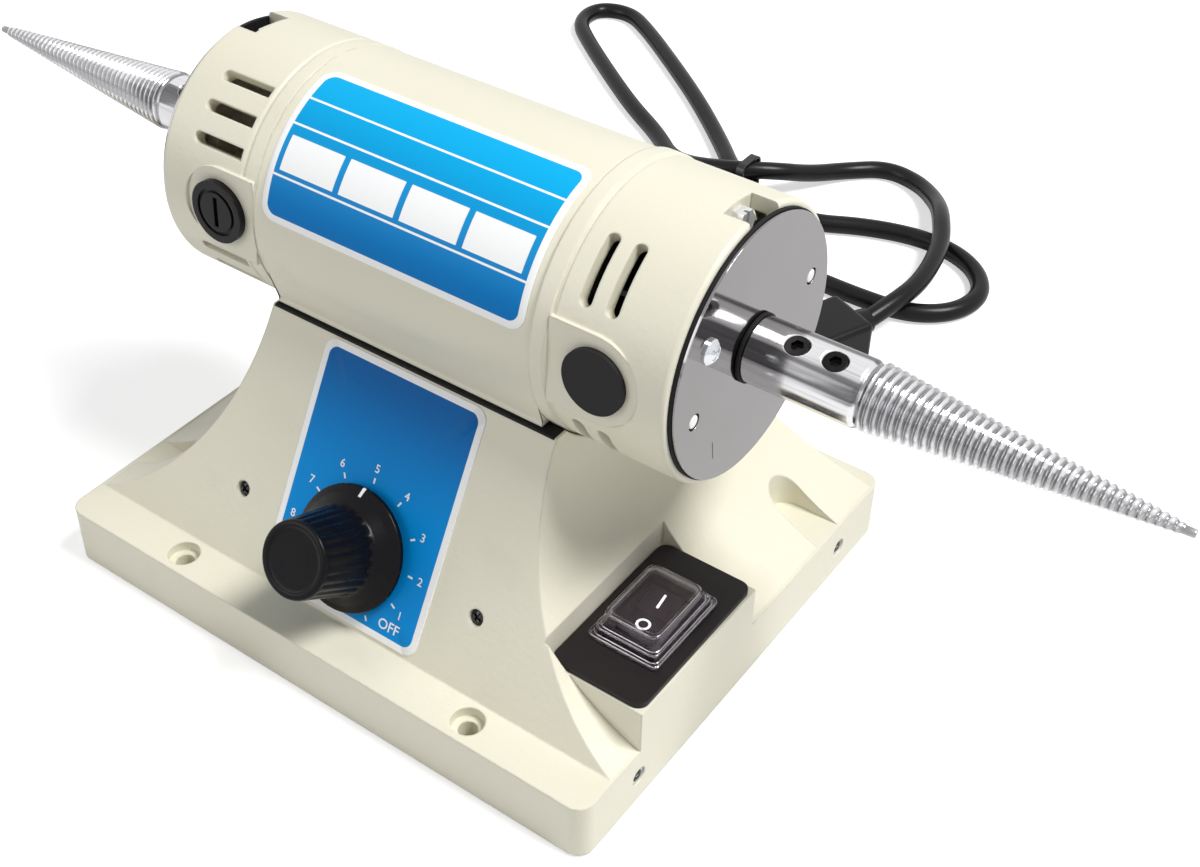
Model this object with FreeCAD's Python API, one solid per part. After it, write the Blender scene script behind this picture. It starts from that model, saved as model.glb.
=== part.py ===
import FreeCAD, Part
import math
import os

# A small double-ended bench polishing lathe. Millimetres, +Z up, +X along the spindles
# (towards the switch side), -Y towards the user. The origin is the middle of the base
# on the surface that the rubber feet stand on.

V = FreeCAD.Vector
AXIS_X = V(1, 0, 0)
AXIS_Y = V(0, 1, 0)
AXIS_Z = V(0, 0, 1)

# ---------------------------------------------------------------- driving sizes
# Base casting
base_width = 190.0             # along X
base_depth = 156.0             # along Y
base_corner_radius = 5.0
foot_proud = 1.0               # how far the feet stand below the casting
flange_height = 18.7           # casting edge to the top of the front ledge
front_ledge = 13.2             # width of the ledge in front of the pedestal
rear_ledge = 5.1               # and behind it
casting_wall = 4.0
pocket_width = 12.0            # over the feet and the rear bench holes
pedestal_rise = 65.6           # ledge to the pedestal's top edge
pedestal_top_half_width = 49.7
pedestal_top_front_y = -27.7
pedestal_top_rear_y = 37.7
flare_foot_inset = 1.0         # the flare meets the ledge this far inside the base's side
cradle_floor = 4.6             # casting left under the motor's trough

# Motor
motor_axis_y = 6.2
motor_axis_height = 110.7
shell_radius = 37.9
shell_wall = 1.9
shell_left_x = -49.2
shell_right_x = 44.5
cradle_pad_thickness = 1.1
cradle_pad_inset = 2.5         # the rubber pad stops this far inside the pedestal's edges
motor_turn = 4.0               # degrees: the motor is bolted down slightly rolled back

# End housings
housing_radius = 38.2
housing_wall = 4.2
housing_end_x = 84.1
band_radius = 38.7
band_width = 4.7
band_edge = 0.4
groove_width = 0.7             # the fine groove beside the collar
groove_depth = 0.35
spigot_length = 4.0
spigot_wall = 2.3
web_thickness = 3.0
web_shaft_gap = 2.0
vent_depth = 4.0               # the vents' cutters reach this far inside the wall
rim_round = 1.0
hub_wall = 3.0
brush_x = -62.2
plug_x = 63.6
boss_radius = 12.7
boss_plane = 37.3              # flat of the brush boss, from the motor axis
slot_width = 3.3
axial_slot_x = (-73.8, -56.0)
axial_slot_angles = (55.4, 41.4, 27.4, -25.0, -39.0, -53.0)
ring_slot_x = (57.0, 64.8)
ring_slot_width = 3.7
ring_slot_arcs = ((26.2, 55.3), (-46.0, -26.0))
notch_width = 13.0
notch_depth = 7.6
notch_rise = 4.6               # bolt line to the notch's floor
notch_margin = 2.0
plate_boss_radius = 4.2        # for the end plates' screws
plate_boss_length = 8.0

# End plates
gasket_thickness = 0.9
gasket_radius = 36.5
end_plate_thickness = 0.9
end_plate_radius = 36.05
end_plate_bore = 7.5
plate_screw_radius = 1.5
plate_screw_head = 3.0
plate_screw_head_rise = 2.1
plate_screw_dome = 0.9
plate_screw_length = 9.0
plate_screw_recess = (3.8, 1.1)
plate_screw_ring = 25.2
plate_screw_angle = 25.1       # degrees from -Y towards +Z, seen on the right plate
plate_hole_ring = 27.8
plate_hole_angle = -17.0
plate_hole_radius = 2.4
gasket_hole_margin = 0.8       # the gasket stands back from the plate's two sight holes

# Rotor
shaft_radius = 5.0
shaft_mid_radius = 6.0
shaft_in_spindle = 25.0
shaft_chamfer = 0.6
shaft_shoulder_gap = 0.6       # between the shaft's shoulder and the bearing
bearing_outer_radius = 15.0
bearing_width = 9.0
bearing_pitch_radius = 10.0
bearing_ball_radius = 2.35
bearing_ball_count = 8
bearing_cage = (1.2, 1.0)      # half its thickness and half its width
stator_length = 46.0
stator_bore = 19.2
stator_yoke = 6.4
pole_half = 8.0
pole_shoe = 3.2
pole_shoe_arc = 52.0           # degrees each side of the pole
coil_reach = 8.0
coil_width = 6.4
coil_gap = 0.4
armature_air_gap = 0.5
armature_slots = 12
slot_round = 1.9
slot_depth = 3.4               # armature's surface to the middle of a slot
slot_mouth = 1.4
winding_overhang = 9.5
winding_sink = 1.2             # the windings lie this far below the armature's surface
commutator_radius = 11.0
commutator_length = 16.0
commutator_collar = (1.5, 1.6)  # length and rise
commutator_bars = 22
commutator_cut = (0.5, 0.9)    # width and depth between bars
fan_radius = 27.0
fan_x = (50.5, 62.0)
fan_blades = 9
fan_sheet = 1.6
fan_blade_thickness = 1.4
fan_hub_wall = 4.0
washer_radius = 9.4            # black spacer between end plate and spindle
washer_thickness = 0.75

# Brushes
brush_size = (5.0, 8.0)
brush_outer_end = 24.5
holder_radius = 7.0
holder_inner_end = 13.0
holder_mouth = 29.0
brush_cap_radius = 9.2
brush_cap_thickness = 2.0
cap_stem_radius = 5.1
cap_stem_end = 32.0
cap_groove = (7.0, 5.9, 0.8)   # outer and inner radius, depth
cap_slot = (1.6, 9.2, 1.2)     # width, length, depth
spring_radius = 1.7
spring_wire = 0.35
spring_turns = 6
plug_rim_thickness = 1.4       # the blank plugs
plug_stem_length = 5.0
plug_stem_wall = 1.5

# Taper spindles
spindle_radius = 9.0
shank_length = 31.6
shank_chamfer = 0.5
thread_length = 78.0
spindle_tip = 2.6
spindle_tip_round = 0.4
thread_pitch = 2.1
thread_root_radius = 8.3       # at the thick end
thread_depth = 1.15
thread_fade = 0.55             # share of the depth lost towards the tip
thread_tip_radius = 1.1
set_screw_offsets = (12.0, 22.5)    # from the spindle's inner end
set_screw_angle = 71.5
set_screw_radius = 3.0
set_screw_socket = (3.0, 1.6)
set_screw_chamfer = 1.4

# Tie bolts
tie_bolt_radius = 2.0
tie_bolt_ring = 32.8
tie_bolt_across = 7.0          # heads and nuts, across flats
tie_bolt_head = 3.2
tie_bolt_slot = (1.0, 1.2)
tie_bolt_spare = 1.2           # thread beyond the nut
tie_boss_wall = 2.6
tie_boss_gap = 4.0             # boss starts this far beyond the spigot

# Motor label
motor_label_x = (-46.2, 41.9)
motor_label_arc = (10.5, 80.5)

# Control panel (distances up the sloping face from the ledge)
label_width = 56.4
label_bottom = 1.2
label_height = 73.0
label_thickness = 0.3
label_corner = 4.0
knob_rise = 22.3
face_screw_x = 42.7
face_screw_rise = 21.1
face_screw_radius = 1.5
face_screw_head = 2.3
face_screw_head_height = 1.6
face_screw_sink = 1.2
face_screw_spare = 1.5         # thread behind the bracket
bracket_thickness = 1.5
bracket_margin = 5.0
bracket_below = 12.0
bracket_above = 14.0
knob_gap = 2.2
knob_skirt_radius = 18.0
knob_skirt_thickness = 1.6
knob_cone_height = 4.8
knob_grip_radius = 12.4        # where the grip leaves the skirt's cone
knob_end_radius = 10.9
knob_height = 24.6
knob_skirt_edge = 0.6
knob_top_round = 1.5
knob_flutes = 24
knob_flute_radius = 0.9
knob_bore_floor = 4.5          # plastic left above the shaft
knob_room = (2.0, 3.8)         # wall of the grip and depth of the hollow round the nut
knob_screw_z = 13.0
knob_screw_radius = 1.5
knob_screw_length = 6.0
knob_screw_slot = (0.6, 1.0)
pot_shaft_radius = 3.0
pot_body_radius = 12.0
pot_body_depth = 9.0
pot_body_floor = 1.5
pot_bush_radius = 4.7
pot_bush_rise = 4.0            # above the sloping face
pot_washer = (7.0, 0.7)
pot_nut = (12.5, 2.2)
pot_tag_x = (-5.0, 0.0, 5.0)
pot_tag_size = (1.8, 6.0, 0.7)
pot_tag_root = 2.0
pot_tag_drop = 4.0

# Speed board, on posts inside the base
board_x = -20.0
board_y = 12.0
board_z = 12.0
board_size = (76.0, 58.0, 1.6)
post_radius = 2.8
post_inset = 5.0
capacitors = ((-26.0, -12.0, 8.0, 28.0), (-26.0, 8.0, 5.0, 16.0))    # x, y, radius, height
blocks = ((-12.0, 6.0, -25.0, -17.0, 13.0), (10.0, 30.0, 14.0, 24.0, 11.0),
          (-12.0, 12.0, 17.0, 25.0, 6.0), (16.0, 32.0, -26.0, -20.0, 14.0))    # x, x, y, y, height
choke = (22.0, -6.0, 9.0, 4.0, 9.0)    # x, y, radius, hole, height
sink_place = (-12.0, -12.0)
sink_size = (24.0, 13.0, 22.0)
sink_web = 3.0
sink_fin = 1.5
sink_fins = 7

# Switch
switch_box_width = 30.7        # from the base's side to the box's inner side
switch_box_length = 54.9
switch_box_setback = 12.1      # behind the foot of the sloping face
switch_box_wall = 3.2
switch_plate_top = 35.3
switch_plate_thickness = 1.5
switch_plate_margin = 0.7
switch_plate_corner = 3.2
switch_offset = 27.7           # middle of the switch, from the box's front
switch_body_size = (13.4, 21.6, 20.0)
switch_rim_size = (17.0, 25.2, 1.7)
rocker_size = (10.8, 16.6)
rocker_outline = (6.8, 5.4, 1.5, 2.2, 3.2)    # rise at ends and middle, skirt, keel's half width and drop
rocker_pocket = (11.6, 19.4, 7.0)
rocker_pivot_depth = 2.8       # below the plate's top
rocker_pin = (1.0, 0.6)        # radius, and reach into each side of the body
rocker_tilt = 9.0
terminal_size = (4.8, 0.8, 8.0)
terminal_pitch = 7.0
cap_base_size = (22.4, 31.0, 1.6)
cap_top_size = (16.2, 20.8)
cap_rise = 7.8
cap_wall = 0.7
cap_corner = 2.0
cap_step = 1.0                 # the bubble stands this far inside its frame
cap_bubble_corner = 2.4

# Feet, cover and fixings; feet, bench holes and side screws are set in from the base's edges
foot_inset_x = 15.0
foot_inset_y = 32.0
foot_radius = 8.0
foot_height = 5.0
foot_recess = (4.2, 3.0)       # radius and depth, for the screw's head
foot_boss_radius = 8.6
foot_screw_radius = 2.0
foot_screw_head = 3.8
foot_screw_sink = 0.6
foot_screw_length = 14.0
foot_screw_recess = (4.4, 1.2)
bench_hole_inset_x = 42.2
bench_hole_inset_y = 6.7
bench_hole_radius = 2.75
bench_recess_radius = 4.7
bench_recess_depth = 3.2
bench_boss_radius = 6.8
bench_pad_radius = 5.0         # the boss's foot, level with the rubber feet
side_screw_inset = 25.0
side_screw_z = 10.0
side_screw_radius = 1.5
side_screw_head = (2.7, 1.9)
side_screw_sink = 0.5
cover_thickness = 1.2
cover_rise = 2.2
cover_flange = 12.0
cover_flange_margin = 6.0      # beyond the side screws
cover_slots = 9
cover_slot_size = (3.0, 20.0)
cover_slot_pitch = 8.0
cover_slot_center_y = 40.0
saddle_screw_x = 34.0
saddle_screw_y = 11.0          # beside the lower tie bolt, one in front and one behind
saddle_screw_radius = 2.5
saddle_head_height = 3.6
saddle_across = 8.0
saddle_nut_height = 3.9
saddle_thread_spare = 0.7

# Lead and plug
cord_radius = 3.5
cord_exit_x = -30.0
cord_exit_z = 9.6
relief_length = 30.0
relief_radius = 5.6
relief_flange = (7.2, 2.0)
relief_neck = 5.0
relief_catch = (6.0, 2.5)      # the collar inside the wall
relief_grooves = 5
relief_groove = (5.0, 4.6, 1.6)    # first from the wall, pitch, width
relief_core_half = 2.2
sleeve_wall = 1.0              # rubber round the lead where a sleeve ends
crossing_gap = 0.5             # where the lead passes over itself
plug_body_size = (22.0, 32.0, 15.6)
plug_round = 2.4
plug_place = (45.5, 162.5)
plug_heading = -112.3
plug_boot = (5.6, 6.0)         # radius at the plug, length
pin_spacing = 12.7
pin_size = (1.6, 17.0, 6.4)
tie_thickness = 1.0            # the hank's plastic tie
tie_width = 3.4
tie_place = (-38.0, 217.0)
tie_slack = 2.3                # beside the two strands, which cross in it at a slant
tie_lift = 0.1
tie_corner = 3.0
tie_head = (2.6, 5.0, 5.2)
tie_head_z = 8.0
tie_tail = (12.0, 1.1, 3.0)

# Clearances
part_gap = 0.3                 # between pieces that move past each other
slip = 0.1                     # a piece dropped into its seat
press = 0.03                   # a bore on its shaft, fitted tight
run = 0.05                     # running fit, on the radius


# ---------------------------------------------------------------- worked-out places
casting_bottom = foot_proud
ledge_z = casting_bottom + flange_height
pedestal_top_z = ledge_z + pedestal_rise
flare_foot_x = base_width / 2 - flare_foot_inset
flare_reach = flare_foot_x - pedestal_top_half_width
flare_radius = (flare_reach ** 2 + pedestal_rise ** 2) / (2 * flare_reach)
flare_center_x = pedestal_top_half_width + flare_radius
face_foot_y = base_depth / 2 - front_ledge
rear_foot_y = base_depth / 2 - rear_ledge
foot_x = base_width / 2 - foot_inset_x
foot_y = base_depth / 2 - foot_inset_y
bench_hole_x = base_width / 2 - bench_hole_inset_x
bench_hole_y = base_depth / 2 - bench_hole_inset_y
side_screw_y = base_depth / 2 - side_screw_inset
foot_shank_z = foot_recess[1] - 1
plug_spot = V(*plug_place, plug_body_size[2] / 2)
trough_radius = shell_radius + cradle_pad_thickness + slip
cavity_top_z = motor_axis_height - trough_radius - cradle_floor
shell_inner = shell_radius - shell_wall
housing_inner = housing_radius - housing_wall
spigot_outer = shell_inner - slip
spigot_inner = spigot_outer - spigot_wall
vent_start = housing_inner - vent_depth
stator_mid_x = (shell_left_x + shell_right_x) / 2
stator_x0 = stator_mid_x - stator_length / 2
stator_x1 = stator_mid_x + stator_length / 2
hub_x1 = housing_end_x - web_thickness
hub_x0 = hub_x1 - bearing_width
gasket_end_x = housing_end_x + gasket_thickness
plate_end_x = gasket_end_x + end_plate_thickness
washer_x0 = plate_end_x + part_gap
washer_x1 = washer_x0 + washer_thickness
spindle_start_x = washer_x1 + run
shaft_end_x = spindle_start_x + shaft_in_spindle
thread_start_x = spindle_start_x + shank_length
thread_end_x = thread_start_x + thread_length
spindle_tip_x = thread_end_x + spindle_tip
armature_radius = stator_bore - armature_air_gap
slot_center = armature_radius - slot_depth
box_top_z = switch_plate_top - switch_plate_thickness
switch_box_x = base_width / 2 - switch_box_width
switch_box_y0 = -face_foot_y + switch_box_setback
switch_box_y1 = switch_box_y0 + switch_box_length
switch_center_x = base_width / 2 - switch_box_width / 2
switch_center_y = switch_box_y0 + switch_offset
rocker_pivot_z = switch_plate_top - rocker_pivot_depth
rim_top_z = switch_plate_top + switch_rim_size[2]
board_top = board_z + board_size[2]
tie_clear = tie_bolt_radius + part_gap
notch_floor_x = housing_end_x - notch_depth
bracket_top = -casting_wall
pot_top = bracket_top - bracket_thickness
pot_bottom = pot_top - pot_body_depth
everywhere = 4 * base_width    # longer than the whole machine, for cutters

corners = ((-1, -1), (-1, 1), (1, -1), (1, 1))
pocket_corners = ((1, 1), (-1, 1), (-1, -1))

face_run = pedestal_top_front_y + face_foot_y
face_angle = math.degrees(math.atan2(pedestal_rise, face_run))
face_place = FreeCAD.Placement(V(0, -face_foot_y, ledge_z), FreeCAD.Rotation(AXIS_X, face_angle))
motor_place = FreeCAD.Placement(V(0, motor_axis_y, motor_axis_height), FreeCAD.Rotation())
turn_place = FreeCAD.Placement(V(0, motor_axis_y, motor_axis_height), FreeCAD.Rotation(AXIS_X, -motor_turn))


# ---------------------------------------------------------------- small makers
def box(x0, x1, y0, y1, z0, z1):
    return Part.makeBox(x1 - x0, y1 - y0, z1 - z0, V(x0, y0, z0))


def rod(radius, start, direction, length):
    return Part.makeCylinder(radius, length, start, direction)


def ring(outer, inner, x0, x1):
    """A tube about the X axis."""
    start = V(x0, 0, 0)
    return rod(outer, start, AXIS_X, x1 - x0).cut(rod(inner, start, AXIS_X, x1 - x0))


def turned(profile):
    """A solid of revolution about the X axis, from (x, radius) points."""
    points = [V(x, 0, r) for x, r in profile]
    face = Part.Face(Part.makePolygon(points + points[:1]))
    return face.revolve(V(0, 0, 0), AXIS_X, 360)


def prism(points, direction):
    """A polygon pushed along a direction."""
    return Part.Face(Part.makePolygon(points + points[:1])).extrude(direction)


def join(shapes):
    first = shapes[0]
    if len(shapes) == 1:
        return first
    return first.multiFuse(shapes[1:]).removeSplitter()


def group(shapes):
    """Separate solids in one node."""
    return Part.makeCompound(shapes)


def placed(shape, placement):
    moved = shape.copy()
    moved.Placement = placement.multiply(shape.Placement)
    return moved


def radial(angle, distance=1.0):
    """A direction about the X axis: 0 degrees is towards -Y, 90 is up."""
    turn = math.radians(angle)
    return V(0, -math.cos(turn) * distance, math.sin(turn) * distance)


def turned_by(shape, angle):
    """A shape that points along -Y, turned about the X axis to the given angle."""
    return placed(shape, FreeCAD.Placement(V(0, 0, 0), FreeCAD.Rotation(AXIS_X, -angle)))


def mirror_x(shape):
    return shape.mirror(V(0, 0, 0), AXIS_X)


def rounded_plate(width, height, corner, z0, z1, center=(0.0, 0.0)):
    """A flat plate with rounded corners, standing from z0 to z1."""
    cx, cy = center
    plate = box(cx - width / 2, cx + width / 2, cy - height / 2, cy + height / 2, z0, z1)
    corners = [edge for edge in plate.Edges if abs(edge.tangentAt(edge.FirstParameter).z) > 0.9]
    return plate.makeFillet(corner, corners)


def hexagon(across, start, direction, length):
    """A hexagonal bar along X, Y or Z."""
    points = []
    side = direction.cross(AXIS_Z) if abs(direction.z) < 0.9 else AXIS_X
    other = direction.cross(side)
    for i in range(6):
        turn = math.radians(60 * i)
        points.append(start + (side * math.cos(turn) + other * math.sin(turn)) * (across / math.sqrt(3)))
    return prism(points, direction * length)


def cross_recess(width, depth, start, direction, side):
    """The cutter for a cross slot in a screw's head."""
    other = direction.cross(side)
    arms = []
    for along, across in ((side, other), (other, side)):
        a = along * (width / 2)
        b = across * (width / 7)
        arms.append(prism([start + a + b, start - a + b, start - a - b, start + a - b], direction * depth))
    return join(arms)


# ---------------------------------------------------------------- base casting
def pedestal_block(inset, bottom_z, top_z):
    """The flared pedestal, every side moved inwards by inset."""
    half = flare_foot_x - inset
    front_run = pedestal_top_front_y + face_foot_y
    rear_run = pedestal_top_rear_y - rear_foot_y
    front_foot = -face_foot_y + inset * math.hypot(front_run, pedestal_rise) / pedestal_rise
    rear_foot = rear_foot_y - inset * math.hypot(rear_run, pedestal_rise) / pedestal_rise

    def corner(foot, travel, z):
        return V(-half, foot + travel * (z - ledge_z) / pedestal_rise, z)

    profile = [corner(front_foot, front_run, bottom_z), corner(rear_foot, rear_run, bottom_z),
               corner(rear_foot, rear_run, top_z), corner(front_foot, front_run, top_z)]
    block = prism(profile, AXIS_X * (2 * half))
    reach = 2 * base_depth
    for sign in (-1, 1):
        start = V(sign * flare_center_x, -reach / 2, pedestal_top_z)
        block = block.cut(rod(flare_radius + inset, start, AXIS_Y, reach))
    return block


def base_casting():
    half_x = base_width / 2
    half_y = base_depth / 2
    plinth = rounded_plate(base_width, base_depth, base_corner_radius, casting_bottom, ledge_z)
    pedestal = pedestal_block(0, ledge_z - casting_wall, pedestal_top_z)
    y0, y1 = switch_box_y0, switch_box_y1
    switch_box = box(switch_box_x, half_x, y0, y1, ledge_z - casting_wall, box_top_z)
    body = join([plinth, pedestal, switch_box])

    # the hollow, open below
    inner_x = half_x - casting_wall
    inner_y = half_y - casting_wall
    hollow = box(-inner_x, inner_x, -inner_y, inner_y, 0, ledge_z - casting_wall)
    room = pedestal_block(casting_wall, 0, cavity_top_z)
    body = body.cut(hollow.fuse(room))

    # solid metal round the pockets, the switch notch, the feet and the bench holes
    outer = join([plinth, pedestal])
    pocket_side = pocket_width / 2 + casting_wall
    extras = []
    for sx, sy in pocket_corners:
        x0, x1 = sorted((sx * (foot_x - pocket_side), sx * inner_x))
        cy = sy * foot_y
        extras.append(outer.common(box(x0, x1, cy - pocket_side, cy + pocket_side, ledge_z - casting_wall,
                                       pedestal_top_z)))
    for sx in (-1, 1):
        x0 = sx * bench_hole_x - pocket_side
        extras.append(outer.common(box(x0, x0 + 2 * pocket_side, bench_hole_y - pocket_side, inner_y,
                                       ledge_z - casting_wall, pedestal_top_z)))
    extras.append(outer.common(box(switch_box_x - casting_wall, inner_x, y0 - casting_wall, y1 + casting_wall,
                                   ledge_z - casting_wall, pedestal_top_z)))
    for sx, sy in corners:
        foot_spot = V(sx * foot_x, sy * foot_y, foot_height)
        extras.append(rod(foot_boss_radius, foot_spot, AXIS_Z, ledge_z - foot_height))
        bench_spot = V(sx * bench_hole_x, sy * bench_hole_y, 0)
        boss = rod(bench_boss_radius, bench_spot + AXIS_Z * casting_bottom, AXIS_Z, flange_height)
        extras.append(boss.common(plinth))
        extras.append(rod(bench_pad_radius, bench_spot, AXIS_Z, flange_height / 2))
    body = join([body] + extras)

    # the switch box's own hollow and the flat above it
    wall = switch_box_wall
    cuts = [box(switch_box_x + wall, inner_x, y0 + wall, y1 - wall, 0, box_top_z - wall)]
    cuts.append(box(switch_box_x, half_x + 1, y0, y1, box_top_z, pedestal_top_z))
    sx, sy, _ = switch_body_size
    cuts.append(centered(sx + 2 * slip, sy + 2 * slip, box_top_z - wall - 1, box_top_z + 1))

    # pockets in the flare, over three of the feet
    for sx, sy in pocket_corners:
        center = V(sx * foot_x, sy * foot_y, ledge_z)
        cuts.append(rod(pocket_width / 2, center, AXIS_Z, pedestal_rise))
        x0, x1 = sorted((sx * foot_x, sx * (half_x + 1)))
        cuts.append(box(x0, x1, center.y - pocket_width / 2, center.y + pocket_width / 2, ledge_z,
                        pedestal_top_z))

    # reliefs over the two rear bench holes, where the ledge is narrow
    for sx in (-1, 1):
        x0 = sx * bench_hole_x - pocket_width / 2
        cuts.append(rod(pocket_width / 2, V(sx * bench_hole_x, bench_hole_y, ledge_z), AXIS_Z, pedestal_rise))
        cuts.append(box(x0, x0 + pocket_width, bench_hole_y, half_y + 1, ledge_z, pedestal_top_z))

    # the trough for the motor
    cuts.append(placed(rod(trough_radius, V(-half_x, 0, 0), AXIS_X, base_width), motor_place))

    # screw holes; the feet's are blind
    for sx, sy in corners:
        cuts.append(rod(foot_screw_radius + slip, V(sx * foot_x, sy * foot_y, 0), AXIS_Z,
                        foot_shank_z + foot_screw_length + slip))
        hole = V(sx * bench_hole_x, sy * bench_hole_y, 0)
        cuts.append(rod(bench_hole_radius, hole - AXIS_Z, AXIS_Z, ledge_z + 2))
        cuts.append(rod(bench_recess_radius, hole + AXIS_Z * (ledge_z - bench_recess_depth), AXIS_Z,
                        bench_recess_depth + 1))
        cuts.append(side_screw(sx, sy, slip))
    for sx in (-1, 1):
        cuts.append(rod(saddle_screw_radius + slip, saddle_spot(sx) + AXIS_Z * (cavity_top_z - 1), AXIS_Z,
                        trough_radius))
        cuts.append(placed(face_screw(sx, slip), face_place))
    cuts.append(placed(rod(pot_bush_radius + slip, V(0, knob_rise, pot_bottom), AXIS_Z,
                           1 - pot_bottom), face_place))
    cuts.append(rod(relief_neck + slip, V(cord_exit_x, inner_y - 1, cord_exit_z), AXIS_Y, casting_wall + 2))
    return body.cut(group(cuts))


def saddle_spot(sx):
    """Where a saddle screw stands, seen from above."""
    return V(sx * saddle_screw_x, motor_axis_y - sx * saddle_screw_y, 0)


def side_screw(sx, sy, clearance):
    """A sunk screw through the casting's side into the cover's flange, or the hole for it."""
    head_radius, head_depth = side_screw_head
    start = V(sx * base_width / 2, sy * side_screw_y, side_screw_z)
    inward = V(-sx, 0, 0)
    sink = -1 if clearance else side_screw_sink
    head_end = side_screw_sink + head_depth + clearance
    shank_end = head_end + casting_wall
    head = rod(head_radius + clearance, start + inward * sink, inward, head_end - sink)
    shank = rod(side_screw_radius + clearance, start + inward * 2 * side_screw_sink, inward,
                shank_end - 2 * side_screw_sink)
    return head.fuse(shank)


def face_screw(sx, clearance):
    """A black screw through the sloping face, or the hole for it, in the face's own frame."""
    head_z = -face_screw_sink - face_screw_head_height - clearance
    head_top = clearance if clearance else -face_screw_sink
    shank_z = pot_top - face_screw_spare
    spot = V(sx * face_screw_x, face_screw_rise, 0)
    head = rod(face_screw_head + clearance, spot + AXIS_Z * head_z, AXIS_Z, head_top - head_z)
    shank = rod(face_screw_radius + clearance, spot + AXIS_Z * shank_z, AXIS_Z, head_z + slip - shank_z)
    return head.fuse(shank)


def rubber_feet():
    recess_radius, recess_depth = foot_recess
    feet = []
    for sx, sy in corners:
        spot = V(sx * foot_x, sy * foot_y, 0)
        foot = rod(foot_radius, spot, AXIS_Z, foot_height)
        foot = foot.cut(rod(foot_screw_radius + slip, spot, AXIS_Z, foot_height))
        feet.append(foot.cut(rod(recess_radius, spot, AXIS_Z, recess_depth)))
    return group(feet)


def foot_screws():
    width, depth = foot_screw_recess
    screws = []
    for sx, sy in corners:
        spot = V(sx * foot_x, sy * foot_y, 0)
        head_spot = spot + AXIS_Z * foot_screw_sink
        head = rod(foot_screw_head, head_spot, AXIS_Z, foot_recess[1] - foot_screw_sink)
        shank = rod(foot_screw_radius, spot + AXIS_Z * foot_shank_z, AXIS_Z, foot_screw_length)
        screws.append(head.fuse(shank).cut(cross_recess(width, depth, head_spot, AXIS_Z, AXIS_X)))
    return group(screws)


def bottom_cover():
    """A folded steel tray inside the skirt, with two upright flanges for the side screws."""
    half_x = base_width / 2 - casting_wall - part_gap
    half_y = base_depth / 2 - casting_wall - part_gap
    z0 = cover_rise
    z1 = z0 + cover_thickness
    flange_y = side_screw_y + cover_flange_margin
    tray = [box(-half_x, half_x, -half_y, half_y, z0, z1)]
    for sx in (-1, 1):
        x0, x1 = sorted((sx * half_x, sx * (half_x - cover_thickness)))
        tray.append(box(x0, x1, -flange_y, flange_y, z0, z0 + cover_flange))
    cuts = []
    for sx, sy in corners:
        cuts.append(rod(foot_boss_radius + slip, V(sx * foot_x, sy * foot_y, 0), AXIS_Z, z1 + 1))
        cuts.append(rod(bench_boss_radius + slip, V(sx * bench_hole_x, sy * bench_hole_y, 0), AXIS_Z, z1 + 1))
        cuts.append(rod(side_screw_radius + slip, V(sx * (half_x - 2 * cover_thickness), sy * side_screw_y,
                                                    side_screw_z), V(sx, 0, 0), casting_wall))
    width, length = cover_slot_size
    for i in range(cover_slots):
        x = (i - (cover_slots - 1) / 2) * cover_slot_pitch
        y = cover_slot_center_y
        cuts.append(box(x - width / 2, x + width / 2, y - length / 2, y + length / 2, 0, z1 + 1))
    return join(tray).cut(group(cuts))


def side_screws():
    return group([side_screw(sx, sy, 0) for sx, sy in corners])


# ---------------------------------------------------------------- control panel
def panel_label():
    """The printed plate on the sloping face, in the face's own frame."""
    mid = label_bottom + label_height / 2
    plate = rounded_plate(label_width, label_height, label_corner, 0, label_thickness, (0, mid))
    return plate.cut(rod(pot_bush_radius + slip, V(0, knob_rise, -1), AXIS_Z, label_thickness + 2))


def control_bracket():
    """A steel strap behind the sloping face that carries the speed control."""
    half = face_screw_x + bracket_margin
    strap = box(-half, half, face_screw_rise - bracket_below, face_screw_rise + bracket_above, pot_top,
                bracket_top)
    cuts = [rod(pot_bush_radius + slip, V(0, knob_rise, pot_top - 1), AXIS_Z, bracket_thickness + 2)]
    for sx in (-1, 1):
        cuts.append(rod(face_screw_radius + slip, V(sx * face_screw_x, face_screw_rise, pot_top - 1), AXIS_Z,
                        bracket_thickness + 2))
    return strap.cut(group(cuts))


def potentiometer_body():
    can = rod(pot_body_radius, V(0, knob_rise, pot_bottom), AXIS_Z, pot_body_depth)
    bush = rod(pot_bush_radius, V(0, knob_rise, pot_top), AXIS_Z, pot_bush_rise - pot_top)
    width, length, thickness = pot_tag_size
    edge_y = knob_rise - pot_body_radius
    tag_z = pot_top - pot_tag_drop
    tags = [box(x - width / 2, x + width / 2, edge_y - length, edge_y + pot_tag_root, tag_z, tag_z + thickness)
            for x in pot_tag_x]
    bore = rod(pot_shaft_radius + run, V(0, knob_rise, pot_bottom + pot_body_floor), AXIS_Z,
               pot_bush_rise - pot_bottom)
    return join([can, bush] + tags).cut(bore)


def potentiometer_nut():
    washer_size, washer_height = pot_washer
    across, height = pot_nut
    washer = rod(washer_size, V(0, knob_rise, label_thickness), AXIS_Z, washer_height)
    nut = hexagon(across, V(0, knob_rise, label_thickness + washer_height), AXIS_Z, height)
    bore = rod(pot_bush_radius + press, V(0, knob_rise, 0), AXIS_Z, 2 * (washer_height + height))
    return washer.fuse(nut).cut(bore)


def potentiometer_shaft():
    bottom = pot_bottom + pot_body_floor + slip
    top = knob_gap + knob_height - knob_bore_floor
    return rod(pot_shaft_radius, V(0, knob_rise, bottom), AXIS_Z, top - bottom)


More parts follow.
